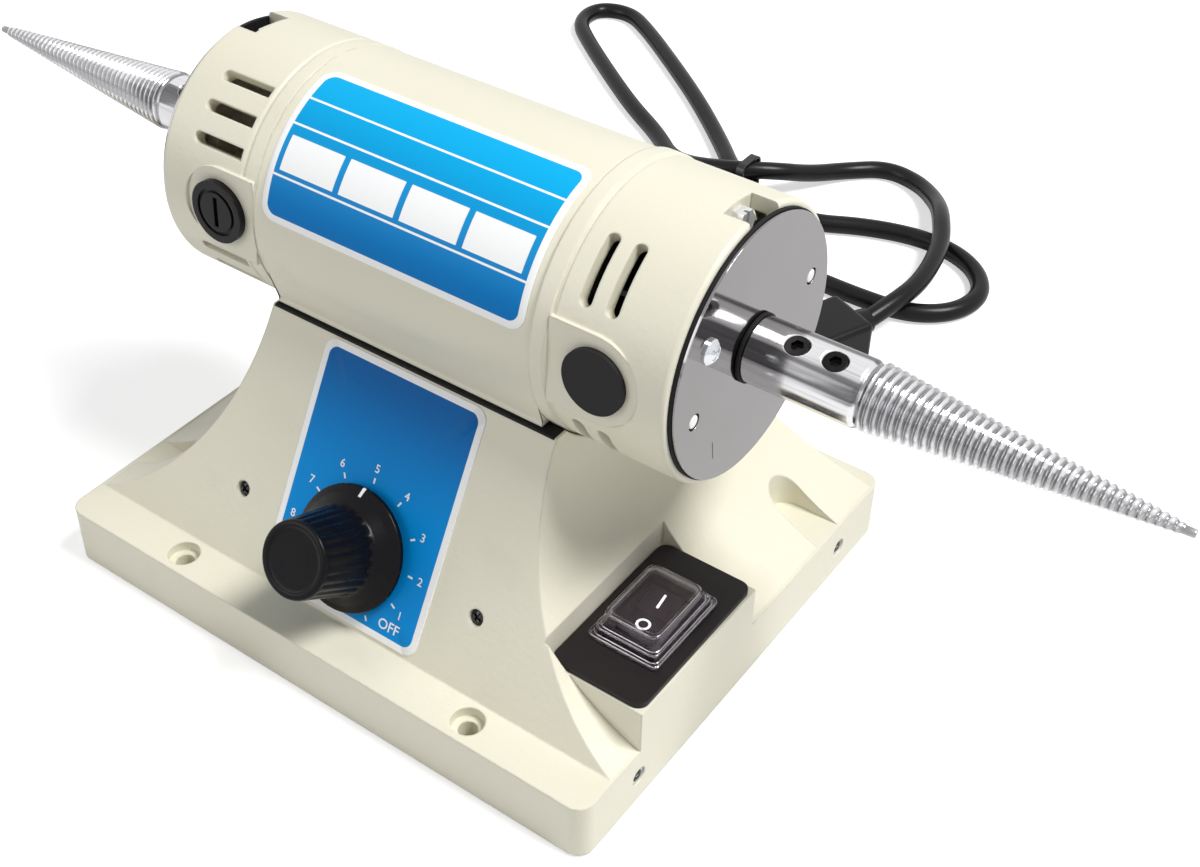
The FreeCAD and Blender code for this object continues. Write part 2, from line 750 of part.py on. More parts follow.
def speed_knob():
    """A skirted control knob with a fluted grip, hollow underneath."""
    z0 = knob_gap
    z_skirt = z0 + knob_skirt_thickness
    z_cone = z_skirt + knob_cone_height
    z_top = z0 + knob_height
    edge = knob_skirt_edge
    top = knob_top_round
    outline = [(z0, 0), (z0, knob_skirt_radius), (z_skirt - edge, knob_skirt_radius),
               (z_skirt, knob_skirt_radius - edge), (z_cone, knob_grip_radius + edge),
               (z_cone + 2 * edge, knob_grip_radius), (z_top - top, knob_end_radius),
               (z_top - top / 3, knob_end_radius - top / 4), (z_top, knob_end_radius - top * 3 / 4), (z_top, 0)]
    points = [V(radius, 0, z) for z, radius in outline]
    body = Part.Face(Part.makePolygon(points + points[:1])).revolve(V(0, 0, 0), AXIS_Z, 360)
    room_wall, room_depth = knob_room
    cuts = [rod(knob_grip_radius - room_wall, V(0, 0, z0 - 1), AXIS_Z, room_depth + 1)]
    for i in range(knob_flutes):
        turn = math.radians(360.0 * i / knob_flutes)
        outward = V(math.cos(turn), math.sin(turn), 0)
        foot = outward * (knob_grip_radius + 1.5 * knob_flute_radius) + AXIS_Z * z_cone
        head = outward * (knob_end_radius + 0.5 * knob_flute_radius) + AXIS_Z * z_top
        cuts.append(rod(knob_flute_radius, foot, head - foot, (head - foot).Length + 1))
    body = body.cut(group(cuts))
    body = body.cut(rod(pot_shaft_radius + press, V(0, 0, z0 - 1), AXIS_Z,
                        knob_height - knob_bore_floor + 2 * slip + 1))
    body = body.cut(rod(knob_screw_radius + press, V(0, 0, knob_screw_z), -AXIS_Y, 2 * knob_grip_radius))
    body.translate(V(0, knob_rise, 0))
    return body


def knob_set_screw():
    width, depth = knob_screw_slot
    start = V(0, knob_rise - pot_shaft_radius - slip, knob_screw_z)
    screw = rod(knob_screw_radius, start, -AXIS_Y, knob_screw_length)
    end_y = start.y - knob_screw_length
    return screw.cut(box(-width / 2, width / 2, end_y, end_y + depth, knob_screw_z - 2, knob_screw_z + 2))


# ---------------------------------------------------------------- speed board
def speed_board():
    half_x = board_size[0] / 2
    half_y = board_size[1] / 2
    return box(board_x - half_x, board_x + half_x, board_y - half_y, board_y + half_y, board_z, board_top)


def board_standoffs():
    base_z = cover_rise + cover_thickness
    reach_x = board_size[0] / 2 - post_inset
    reach_y = board_size[1] / 2 - post_inset
    return group([rod(post_radius, V(board_x + sx * reach_x, board_y + sy * reach_y, base_z), AXIS_Z,
                      board_z - base_z) for sx, sy in corners])


def board_components():
    """Capacitors, relays, terminal block and choke, each standing on the board."""
    spot = V(board_x, board_y, board_top)
    pieces = []
    for x, y, radius, height in capacitors:
        pieces.append(rod(radius, spot + V(x, y, 0), AXIS_Z, height))
    for x0, x1, y0, y1, height in blocks:
        block = box(x0, x1, y0, y1, 0, height)
        block.translate(spot)
        pieces.append(block)
    x, y, radius, hole, height = choke
    coil = rod(radius, spot + V(x, y, 0), AXIS_Z, height)
    pieces.append(coil.cut(rod(hole, spot + V(x, y, 0), AXIS_Z, height)))
    return group(pieces)


def heat_sink():
    """A finned aluminium extrusion that cools the power device."""
    x0 = board_x + sink_place[0]
    y0 = board_y + sink_place[1]
    width, depth, height = sink_size
    z1 = board_top + height
    pitch = (width - sink_fin) / (sink_fins - 1)
    parts = [box(x0, x0 + width, y0, y0 + sink_web, board_top, z1)]
    for i in range(sink_fins):
        parts.append(box(x0 + pitch * i, x0 + pitch * i + sink_fin, y0, y0 + depth, board_top, z1))
    return join(parts)


# ---------------------------------------------------------------- switch
def switch_plate():
    size_x = switch_box_width - 2 * switch_plate_margin
    size_y = switch_box_length - 2 * switch_plate_margin
    middle = (switch_center_x, (switch_box_y0 + switch_box_y1) / 2)
    plate = rounded_plate(size_x, size_y, switch_plate_corner, box_top_z, switch_plate_top, middle)
    bx, by, _ = switch_body_size
    return plate.cut(centered(bx + 2 * slip, by + 2 * slip, box_top_z - 1, switch_plate_top + 1))


def centered(size_x, size_y, z0, z1):
    return box(switch_center_x - size_x / 2, switch_center_x + size_x / 2, switch_center_y - size_y / 2,
               switch_center_y + size_y / 2, z0, z1)


def switch_body():
    bx, by, depth = switch_body_size
    rim_x, rim_y, _ = switch_rim_size
    px, py, pocket_depth = rocker_pocket
    pin_radius, pin_reach = rocker_pin
    body = centered(bx, by, switch_plate_top - depth, rim_top_z)
    body = body.fuse(centered(rim_x, rim_y, switch_plate_top, rim_top_z))
    body = body.cut(centered(px, py, switch_plate_top - pocket_depth, rim_top_z + 1))
    reach = px / 2 + pin_reach + slip
    return body.cut(rod(pin_radius + run, V(switch_center_x - reach, switch_center_y, rocker_pivot_z), AXIS_X,
                        2 * reach))


def switch_terminals():
    width, thickness, length = terminal_size
    z1 = switch_plate_top - switch_body_size[2]
    blades = []
    for i in (-1, 0, 1):
        blade = centered(width, thickness, z1 - length, z1)
        blade.translate(V(0, i * terminal_pitch, 0))
        blades.append(blade)
    return group(blades)


def switch_rocker():
    """The rocker, drawn level about its pivot and then tipped to its off side."""
    width, length = rocker_size
    half = length / 2
    pin_radius, pin_reach = rocker_pin
    end_rise, middle_rise, skirt, keel_half, keel = rocker_outline
    profile = [V(0, -half, -skirt), V(0, -half, end_rise), V(0, 0, middle_rise), V(0, half, end_rise),
               V(0, half, -skirt), V(0, keel_half, -keel), V(0, -keel_half, -keel)]
    body = prism(profile, AXIS_X * width)
    body.translate(V(-width / 2, 0, 0))
    pin_half = rocker_pocket[0] / 2 + pin_reach
    body = body.fuse(rod(pin_radius, V(-pin_half, 0, 0), AXIS_X, 2 * pin_half))
    place = FreeCAD.Placement(V(switch_center_x, switch_center_y, rocker_pivot_z),
                              FreeCAD.Rotation(AXIS_X, rocker_tilt))
    return placed(body, place)


def rounded_loop(width, height, corner, z):
    """A closed wire: a rounded rectangle at height z."""
    plate = rounded_plate(width, height, corner, z, z + 1, (switch_center_x, switch_center_y))
    for face in plate.Faces:
        if abs(face.CenterOfMass.z - z) < 1e-6:
            return face.OuterWire


def switch_cap():
    """The clear splash cover: a flat frame and a tapered bubble, one moulding."""
    base_x, base_y, base_h = cap_base_size
    top_x, top_y = cap_top_size
    z0 = switch_plate_top
    z1 = z0 + base_h
    z2 = z0 + cap_rise
    low_x = base_x - 2 * cap_step
    low_y = base_y - 2 * cap_step
    inner_corner = cap_bubble_corner - cap_wall
    frame = rounded_plate(base_x, base_y, cap_corner, z0, z1, (switch_center_x, switch_center_y))
    low = rounded_loop(low_x, low_y, cap_bubble_corner, z1)
    high = rounded_loop(top_x, top_y, cap_bubble_corner, z2)
    bubble = Part.makeLoft([low, high], True, True)
    low_in = rounded_loop(low_x - 2 * cap_wall, low_y - 2 * cap_wall, inner_corner, z1 - 0.01)
    high_in = rounded_loop(top_x - 2 * cap_wall, top_y - 2 * cap_wall, inner_corner, z2 - cap_wall)
    room = Part.makeLoft([low_in, high_in], True, True)
    opening = centered(switch_rim_size[0] + 2 * slip, switch_rim_size[1] + 2 * slip, z0 - 1, z1)
    return frame.fuse(bubble).removeSplitter().cut(room).cut(opening)


# ---------------------------------------------------------------- motor body
def motor_shell():
    shell = ring(shell_radius, shell_inner, shell_left_x, shell_right_x)
    for sx in (-1, 1):
        start = V(sx * saddle_screw_x, -sx * saddle_screw_y, -shell_radius - shell_wall)
        shell = shell.cut(rod(saddle_screw_radius + slip, start, AXIS_Z, 4 * shell_wall))
    return shell


def cradle_pad():
    """The black rubber pad between the motor and the pedestal's trough."""
    inner = shell_radius + press
    outer = inner + cradle_pad_thickness
    x0 = shell_left_x + cradle_pad_inset
    x1 = shell_right_x - cradle_pad_inset
    sheet = ring(outer, inner, x0, x1)
    top = pedestal_top_z - motor_axis_height - cradle_pad_inset
    sheet = sheet.common(box(x0, x1, -outer, outer, -outer - 1, top))
    for sx in (-1, 1):
        start = V(sx * saddle_screw_x, -sx * saddle_screw_y, -outer - 1)
        sheet = sheet.cut(rod(saddle_screw_radius + slip, start, AXIS_Z, outer / 2))
    return sheet


def saddle_screws():
    """Two screws from inside the pedestal up into the motor shell."""
    screws = []
    head_z = cavity_top_z - saddle_head_height
    top_z = motor_axis_height - shell_inner + saddle_nut_height + saddle_thread_spare
    for sx in (-1, 1):
        spot = saddle_spot(sx)
        head = hexagon(saddle_across, spot + AXIS_Z * head_z, AXIS_Z, saddle_head_height - slip)
        shank = rod(saddle_screw_radius, spot + AXIS_Z * (head_z + 1), AXIS_Z, top_z - head_z - 1)
        screws.append(head.fuse(shank))
    return group(screws)


def saddle_nuts():
    """Nuts inside the shell, each with its foot curved to sit on the shell wall."""
    nuts = []
    room = placed(rod(shell_inner - press, V(-housing_end_x, 0, 0), AXIS_X, 2 * housing_end_x), motor_place)
    for sx in (-1, 1):
        spot = saddle_spot(sx) + AXIS_Z * (motor_axis_height - shell_radius)
        height = shell_wall + saddle_nut_height
        nut = hexagon(saddle_across, spot, AXIS_Z, height).common(room)
        nuts.append(nut.cut(rod(saddle_screw_radius + press, spot, AXIS_Z, 2 * height)))
    return group(nuts)


def brush_boss(x, seam_x, y0, y1):
    """A slab across a brush opening: a disc run out to the shell's edge, from y0 to y1."""
    x0, x1 = sorted((x, seam_x))
    disc = rod(boss_radius, V(x, y0, 0), AXIS_Y, y1 - y0)
    return disc.fuse(box(x0, x1, y0, y1, -boss_radius, boss_radius))


def housing(seam_x, opening_x, band):
    """An end housing for the +X end, with its bearing hub, web and bosses, but no vents.

    band is the radius of the collar next to the shell."""
    end = housing_end_x
    groove = housing_radius - groove_depth
    groove_x = seam_x + band_width
    rim = rim_round
    wall = turned([(seam_x, spigot_inner), (seam_x, band), (groove_x - band_edge, band), (groove_x, groove),
                   (groove_x + groove_width, groove), (groove_x + groove_width + groove_depth, housing_radius),
                   (end - rim, housing_radius), (end - 0.3 * rim, housing_radius - 0.3 * rim),
                   (end, housing_radius - rim), (end, housing_inner), (seam_x + spigot_length, housing_inner),
                   (seam_x + spigot_length / 2, spigot_inner)])
    spigot = ring(spigot_outer, spigot_inner, seam_x - spigot_length, seam_x + spigot_length / 4)
    web = ring(housing_inner + 0.5, shaft_mid_radius + web_shaft_gap, hub_x1, end)
    hub = ring(bearing_outer_radius + hub_wall, bearing_outer_radius, hub_x0, hub_x1)
    parts = [wall, spigot, web, hub]
    gauge = rod(housing_radius - slip, V(0, 0, 0), AXIS_X, 2 * end)
    boss_x = seam_x + spigot_length + tie_boss_gap
    shelf_half = notch_width / 2 + notch_margin
    for angle in (90, -90):
        boss = rod(tie_bolt_radius + tie_boss_wall, V(boss_x, 0, 0) + radial(angle, tie_bolt_ring), AXIS_X,
                   notch_floor_x - boss_x)
        shelf = box(notch_floor_x - web_thickness, notch_floor_x, -shelf_half, shelf_half,
                    tie_bolt_ring - notch_rise - notch_margin, housing_radius)
        parts.append(boss.common(gauge))
        parts.append(upright(shelf, angle).common(gauge))
    for angle in (plate_screw_angle, plate_screw_angle + 180):
        start = V(hub_x1 - plate_boss_length, 0, 0) + radial(angle, plate_screw_ring)
        parts.append(rod(plate_boss_radius, start, AXIS_X, plate_boss_length + 0.5))
    body = turn_openings(join(parts), seam_x, opening_x)

    cuts = []
    for angle in (90, -90):
        start = V(seam_x - spigot_length - 1, 0, 0) + radial(angle, tie_bolt_ring)
        cuts.append(rod(tie_clear, start, AXIS_X, end))
        notch = box(notch_floor_x, end + 1, -notch_width / 2, notch_width / 2, tie_bolt_ring - notch_rise,
                    2 * housing_radius)
        cuts.append(upright(notch, angle))
    for angle in (plate_screw_angle, plate_screw_angle + 180):
        start = V(plate_end_x - plate_screw_length - 1, 0, 0) + radial(angle, plate_screw_ring)
        cuts.append(rod(plate_screw_radius + slip, start, AXIS_X, 2 * plate_screw_length))
    for cut in cuts:
        body = body.cut(cut)
    return body


def upright(shape, angle):
    """The shape as it is for the top of the motor, or turned over for its underside."""
    if angle < 0:
        return shape.mirror(V(0, 0, 0), AXIS_Z)
    return shape


def turn_openings(body, seam_x, opening_x):
    """Adds the flat bosses at front and rear and bores their openings."""
    core = rod(housing_inner, V(0, 0, 0), AXIS_X, 2 * housing_end_x)
    edge_x = min(seam_x + band_width, opening_x - boss_radius)
    gauge = box(edge_x, housing_end_x, -boss_plane, 0, -boss_radius, boss_radius)
    bore = rod(holder_radius + slip, V(opening_x, -holder_inner_end + 1, 0), -AXIS_Y, 2 * boss_plane)
    boss = brush_boss(opening_x, edge_x, -boss_plane, 0).common(gauge)
    beyond = brush_boss(opening_x, edge_x, -housing_radius - boss_radius, -boss_plane)
    for angle in (0, 180):
        body = body.fuse(turned_by(boss, angle).cut(core).cut(turned_by(bore, angle)))
        body = body.cut(turned_by(beyond, angle)).cut(turned_by(bore, angle))
    return body


def right_housing():
    """The housing by the fan; its vents run round the motor."""
    body = housing(shell_right_x, plug_x, band_radius)
    for x in ring_slot_x:
        for low, high in ring_slot_arcs:
            body = body.cut(ring_slot(x, low, high))
            body = body.cut(ring_slot(x, 180 - high, 180 - low))
    return body


def ring_slot(x, low, high):
    """The cutter for a round-ended vent about the X axis, between two angles."""
    half = ring_slot_width / 2
    tip = math.degrees(half / housing_radius)
    reach = housing_radius - vent_start
    band = ring(housing_radius + half, vent_start, x - half, x + half).common(wedge(low + tip, high - tip))
    ends = [rod(half, V(x, 0, 0) + radial(angle, vent_start), radial(angle), reach + half)
            for angle in (low + tip, high - tip)]
    return band.fuse(ends[0]).fuse(ends[1])


def wedge(low, high):
    """A slice about the X axis between two angles, longer and wider than the motor."""
    start = V(-everywhere / 2, 0, 0)
    steps = 4
    points = [start]
    for i in range(steps + 1):
        points.append(start + radial(low + (high - low) * i / steps, 2 * housing_radius))
    return prism(points, AXIS_X * everywhere)


def left_housing():
    """The housing by the brushes; its vents run along the motor and open at their inner ends."""
    body = housing(-shell_left_x, -brush_x, housing_radius)
    x0, x1 = -axial_slot_x[1], -axial_slot_x[0]
    half = slot_width / 2
    top = housing_radius + half
    slot = box(x0, x1 - half, -top, -vent_start, -half, half)
    slot = slot.fuse(rod(half, V(x1 - half, -vent_start, 0), -AXIS_Y, top - vent_start))
    for angle in axial_slot_angles:
        body = body.cut(turned_by(slot, angle))
        body = body.cut(turned_by(slot, 180 - angle))
    return mirror_x(body)


def plate_cutters(x0, x1, sight_radius):
    """The shaft, screw and sight holes through a gasket or end plate."""
    length = x1 - x0 + 2
    cutters = [rod(end_plate_bore, V(x0 - 1, 0, 0), AXIS_X, length)]
    for angle in (plate_screw_angle, plate_screw_angle + 180):
        spot = V(x0 - 1, 0, 0) + radial(angle, plate_screw_ring)
        cutters.append(rod(plate_screw_radius + slip, spot, AXIS_X, length))
    for angle in (plate_hole_angle, plate_hole_angle + 180):
        cutters.append(rod(sight_radius, V(x0 - 1, 0, 0) + radial(angle, plate_hole_ring), AXIS_X, length))
    return group(cutters)


def end_gasket():
    x0, x1 = housing_end_x, gasket_end_x
    disc = rod(gasket_radius, V(x0, 0, 0), AXIS_X, x1 - x0)
    return disc.cut(plate_cutters(x0, x1, plate_hole_radius + gasket_hole_margin))


def end_plate():
    x0, x1 = gasket_end_x, plate_end_x
    return rod(end_plate_radius, V(x0, 0, 0), AXIS_X, x1 - x0).cut(plate_cutters(x0, x1, plate_hole_radius))


def plate_screws():
    """The two domed, cross-recessed screws of the +X end plate."""
    width, depth = plate_screw_recess
    rise = plate_screw_head_rise
    screws = []
    for angle in (plate_screw_angle, plate_screw_angle + 180):
        spot = V(plate_end_x, 0, 0) + radial(angle, plate_screw_ring)
        head = rod(plate_screw_head, spot, AXIS_X, rise)
        middle_x = plate_end_x + rise / 2
        outer_edge = [edge for edge in head.Edges if edge.Closed and edge.CenterOfMass.x > middle_x]
        head = head.makeFillet(plate_screw_dome, outer_edge)
        shank_start = spot - AXIS_X * plate_screw_length
        shank = rod(plate_screw_radius, shank_start, AXIS_X, plate_screw_length + rise / 2)
        recess = cross_recess(width, depth, spot + AXIS_X * (rise - depth), AXIS_X, radial(45))
        screws.append(head.fuse(shank).cut(recess))
    return screws


def tie_bolts():
    """Two long bolts that clamp both housings on the shell; heads at the +X end."""
    cut_width, cut_depth = tie_bolt_slot
    start_x = -notch_floor_x - tie_bolt_head - tie_bolt_spare
    head_top = notch_floor_x + tie_bolt_head
    bolts = []
    for angle in (90, -90):
        spot = radial(angle, tie_bolt_ring)
        head = hexagon(tie_bolt_across, V(notch_floor_x, 0, 0) + spot, AXIS_X, tie_bolt_head)
        shank = rod(tie_bolt_radius, V(start_x, 0, 0) + spot, AXIS_X, notch_floor_x + slip - start_x)
        slot = box(head_top - cut_depth, head_top + 1, -cut_width / 2, cut_width / 2,
                   spot.z - tie_bolt_across, spot.z + tie_bolt_across)
        bolts.append(head.fuse(shank).cut(slot))
    return group(bolts)


def tie_nuts():
    nuts = []
    for angle in (90, -90):
        start = V(-notch_floor_x - tie_bolt_head, 0, 0) + radial(angle, tie_bolt_ring)
        nut = hexagon(tie_bolt_across, start, AXIS_X, tie_bolt_head)
        nuts.append(nut.cut(rod(tie_bolt_radius + press, start - AXIS_X, AXIS_X, tie_bolt_head + 2)))
    return group(nuts)


def motor_label():
    """The printed wrap on the shell."""
    inner = shell_radius + press
    low, high = motor_label_arc
    return ring(inner + label_thickness, inner, *motor_label_x).common(wedge(low, high))


# ---------------------------------------------------------------- stator, brushes
def stator_core():
    yoke_outer = shell_inner - slip
    yoke_inner = yoke_outer - stator_yoke
    shoe = ring(stator_bore + pole_shoe, stator_bore, stator_x0, stator_x1)
    pole = box(stator_x0, stator_x1, -pole_half, pole_half, stator_bore + pole_shoe / 2, yoke_inner + 1)
    parts = [ring(yoke_outer, yoke_inner, stator_x0, stator_x1)]
    for angle in (90, -90):
        parts.append(shoe.common(wedge(angle - pole_shoe_arc, angle + pole_shoe_arc)))
        parts.append(upright(pole, angle))
    body = join(parts)
    for angle in (90, -90):
        start = V(stator_x0 - 1, 0, 0) + radial(angle, tie_bolt_ring)
        body = body.cut(rod(tie_clear, start, AXIS_X, stator_length + 2))
    return body


def field_coils():
    low = stator_bore + pole_shoe + coil_gap
    high = shell_inner - slip - stator_yoke - coil_gap
    x0 = stator_x0 - coil_reach
    x1 = stator_x1 + coil_reach
    half = pole_half + coil_width
    gauge = rod(high, V(x0, 0, 0), AXIS_X, x1 - x0)
    outer = box(x0, x1, -half, half, low, high)
    inner = box(stator_x0 - part_gap, stator_x1 + part_gap, -pole_half - part_gap, pole_half + part_gap,
                low - 1, high + 1)
    coil = outer.common(gauge).cut(inner)
    return group([upright(coil, angle) for angle in (90, -90)])


def brush_channel(extra, start, end):
    """A brush-shaped bar that points at the commutator from the front."""
    half_x = brush_size[0] / 2 + extra
    half_z = brush_size[1] / 2 + extra
    return box(brush_x - half_x, brush_x + half_x, -end, -start, -half_z, half_z)


def brush_holders():
    holder = rod(holder_radius, V(brush_x, -holder_inner_end, 0), -AXIS_Y, boss_plane - holder_inner_end)
    holder = holder.cut(brush_channel(slip, 0, holder_mouth + 1))
    holder = holder.cut(rod(cap_stem_radius + slip, V(brush_x, -holder_mouth, 0), -AXIS_Y, boss_plane))
    return group([turned_by(holder, angle) for angle in (0, 180)])


def carbon_brushes():
    block = brush_channel(0, commutator_radius - 1, brush_outer_end)
    block = block.cut(rod(commutator_radius + run, V(brush_x - brush_size[0], 0, 0), AXIS_X, 2 * brush_size[0]))
    return group([turned_by(block, angle) for angle in (0, 180)])


def brush_springs():
    """Each spring pushes a brush in from under its cap."""
    height = cap_stem_end - brush_outer_end - 2 * spring_wire
    helix = Part.makeHelix(height / spring_turns, height, spring_radius)
    section = Part.Wire([Part.Circle(V(spring_radius, 0, 0), AXIS_Y, spring_wire).toShape()])
    coil = Part.Wire(helix.Edges).makePipeShell([section], True, True)
    place = FreeCAD.Placement(V(brush_x, -brush_outer_end - spring_wire, 0), FreeCAD.Rotation(AXIS_X, 90))
    return group([turned_by(placed(coil, place), angle) for angle in (0, 180)])


def brush_caps():
    """The slotted caps that hold the springs in."""
    front = boss_plane + brush_cap_thickness
    groove_outer, groove_inner, groove_sink = cap_groove
    width, length, slot_sink = cap_slot
    cap = rod(brush_cap_radius, V(brush_x, -boss_plane, 0), -AXIS_Y, brush_cap_thickness)
    cap = cap.fuse(rod(cap_stem_radius, V(brush_x, -cap_stem_end, 0), -AXIS_Y, front - 1 - cap_stem_end))
    floor = V(brush_x, -front + groove_sink, 0)
    groove = rod(groove_outer, floor, -AXIS_Y, 2 * groove_sink).cut(rod(groove_inner, floor, -AXIS_Y,
                                                                       2 * groove_sink))
    slot = box(brush_x - width / 2, brush_x + width / 2, -front - 1, -front + slot_sink, -length / 2,
               length / 2)
    cap = cap.cut(groove).cut(slot)
    return group([turned_by(cap, angle) for angle in (0, 180)])


def blank_plugs():
    """Plain plugs in the openings of the housing that has no brushes."""
    start = V(plug_x, -boss_plane + plug_stem_length, 0)
    stem = rod(holder_radius, start, -AXIS_Y, plug_stem_length + plug_rim_thickness / 2)
    stem = stem.cut(rod(holder_radius - plug_stem_wall, start, -AXIS_Y, plug_stem_length - plug_stem_wall))
    plug = rod(brush_cap_radius - slip, V(plug_x, -boss_plane, 0), -AXIS_Y, plug_rim_thickness).fuse(stem)
    return group([turned_by(plug, angle) for angle in (0, 180)])


# ---------------------------------------------------------------- rotor
def rotor_shaft():
    neck = hub_x0 - shaft_shoulder_gap
    end_radius = shaft_radius - shaft_chamfer
    right = [(neck, shaft_mid_radius), (neck, shaft_radius), (shaft_end_x - shaft_chamfer, shaft_radius),
             (shaft_end_x, end_radius), (shaft_end_x, 0)]
    left = [(-x, radius) for x, radius in reversed(right)]
    return turned(left + right)


def armature_core():
    core = ring(armature_radius, shaft_mid_radius + press, stator_x0, stator_x1)
    half = slot_mouth / 2
    mouth = box(stator_x0 - 1, stator_x1 + 1, -armature_radius - 1, -slot_center, -half, half)
    cutters = []
    for i in range(armature_slots):
        angle = 360.0 * i / armature_slots
        start = V(stator_x0 - 1, 0, 0) + radial(angle, slot_center)
        cutters.append(rod(slot_round, start, AXIS_X, stator_length + 2))
        cutters.append(turned_by(mouth, angle))
    return core.cut(group(cutters))


def armature_windings():
    """Copper in the slots and the rounded overhangs at both ends."""
    inner = shaft_mid_radius + 2 * run + winding_sink
    outer = armature_radius - winding_sink
    parts = []
    for start, end in ((stator_x0 - slip, stator_x0 - winding_overhang),
                       (stator_x1 + slip, stator_x1 + winding_overhang)):
        shoulder = (start + 2 * end) / 3
        parts.append(turned([(start, inner), (start, outer), (shoulder, outer - winding_sink / 2),
                             (end, outer - 4 * winding_sink), (end, inner)]))
    for i in range(armature_slots):
        start = V(stator_x0 - 1, 0, 0) + radial(360.0 * i / armature_slots, slot_center)
        parts.append(rod(slot_round - slip, start, AXIS_X, stator_length + 2))
    return join(parts)


def commutator():
    x0 = brush_x - commutator_length / 2
    x1 = brush_x + commutator_length / 2
    collar_length, collar_rise = commutator_collar
    cut_width, cut_depth = commutator_cut
    bore = shaft_mid_radius + press
    top = commutator_radius + collar_rise
    body = turned([(x0, bore), (x0, commutator_radius), (x1 - collar_length, commutator_radius),
                   (x1 - collar_length, top), (x1, top), (x1, bore)])
    gap = box(x0 - 1, x1 + 1, -top - 1, -commutator_radius + cut_depth, -cut_width / 2, cut_width / 2)
    return body.cut(group([turned_by(gap, 360.0 * i / commutator_bars) for i in range(commutator_bars)]))


def cooling_fan():
    x0, x1 = fan_x
    bore = shaft_mid_radius + press
    disc = ring(fan_radius, bore, x0, x0 + fan_sheet)
    hub = ring(shaft_mid_radius + fan_hub_wall, bore, x0, x1)
    blade = box(x0 + fan_sheet / 2, x1, -fan_radius, -shaft_mid_radius - fan_hub_wall / 2,
                -fan_blade_thickness / 2, fan_blade_thickness / 2)
    return join([disc, hub] + [turned_by(blade, 360.0 * i / fan_blades) for i in range(fan_blades)])


def bearing_rings(outer):
    rings = []
    groove_gap = bearing_ball_radius + run
    for sign in (-1, 1):
        x0, x1 = sorted((sign * hub_x0, sign * hub_x1))
        if outer:
            rings.append(ring(bearing_outer_radius - press, bearing_pitch_radius + groove_gap, x0, x1))
        else:
            rings.append(ring(bearing_pitch_radius - groove_gap, shaft_radius + press, x0, x1))
    return group(rings)


def bearing_balls():
    """The balls of both bearings, each row held by its cage ring."""
    cage_half, cage_width = bearing_cage
    rows = []
    for sign in (-1, 1):
        mid = sign * (hub_x0 + hub_x1) / 2
        cage = ring(bearing_pitch_radius + cage_half, bearing_pitch_radius - cage_half, mid - cage_width,
                    mid + cage_width)
        balls = []
        for i in range(bearing_ball_count):
            spot = V(mid, 0, 0) + radial(360.0 * i / bearing_ball_count, bearing_pitch_radius)
            balls.append(Part.makeSphere(bearing_ball_radius, spot))
        rows.append(join([cage] + balls))
    return group(rows)


def shaft_washers():
    washer = ring(washer_radius, shaft_radius + press, washer_x0, washer_x1)
    return group([washer, mirror_x(washer)])


def spindle():
    """A taper spindle: a bored shank and a long tapered thread, for the +X end."""
    profile = [(spindle_start_x, 0), (spindle_start_x, spindle_radius - shank_chamfer),
               (spindle_start_x + shank_chamfer, spindle_radius),
               (thread_start_x - thread_pitch / 2, spindle_radius), (thread_start_x, thread_root_radius)]
    turns = int(thread_length / thread_pitch)
    drop = thread_root_radius - thread_tip_radius
    for i in range(turns):
        x = thread_start_x + i * thread_pitch
        share = (i + 0.5) / turns
        depth = thread_depth * (1 - thread_fade * share)
        profile.append((x + thread_pitch / 2, thread_root_radius - drop * share + depth))
        profile.append((x + thread_pitch, thread_root_radius - drop * (i + 1) / turns))
    profile.append((spindle_tip_x - spindle_tip_round, thread_tip_radius))
    profile.append((spindle_tip_x, thread_tip_radius - spindle_tip_round))
    profile.append((spindle_tip_x, 0))
    body = turned(profile)
    body = body.cut(rod(shaft_radius + press, V(spindle_start_x - 1, 0, 0), AXIS_X, shaft_in_spindle + 2))
    outward = radial(set_screw_angle)
    for offset in set_screw_offsets:
        spot = V(spindle_start_x + offset, 0, 0)
        body = body.cut(rod(set_screw_radius + press, spot, outward, 2 * spindle_radius))
        body = body.cut(Part.makeCone(set_screw_radius, set_screw_radius + set_screw_chamfer, set_screw_chamfer,
                                      spot + outward * (spindle_radius - set_screw_chamfer / 2), outward))
    return body


def set_screws():
    """The two socket screws of the +X spindle, tight against the shaft."""
    across, depth = set_screw_socket
    outward = radial(set_screw_angle)
    length = spindle_radius - shaft_radius - shank_chamfer
    screws = []
    for offset in set_screw_offsets:
        start = V(spindle_start_x + offset, 0, 0) + outward * (shaft_radius + press)
        screw = rod(set_screw_radius, start, outward, length)
        socket_place = FreeCAD.Placement(start + outward * (length - depth), FreeCAD.Rotation(AXIS_Z, outward))
        socket = placed(hexagon(across, V(0, 0, 0), AXIS_Z, 2 * depth), socket_place)
        screws.append(screw.cut(socket))
    return screws


# ---------------------------------------------------------------- lead and plug
floor_z = cord_radius                                  # lying on the bench
tied_z = floor_z + tie_thickness + crossing_gap       # lying on the tie
over_tied_z = tied_z + 2 * cord_radius + crossing_gap  # passing over itself in the tie
over_z = floor_z + 2 * cord_radius + crossing_gap      # passing over itself on the bench

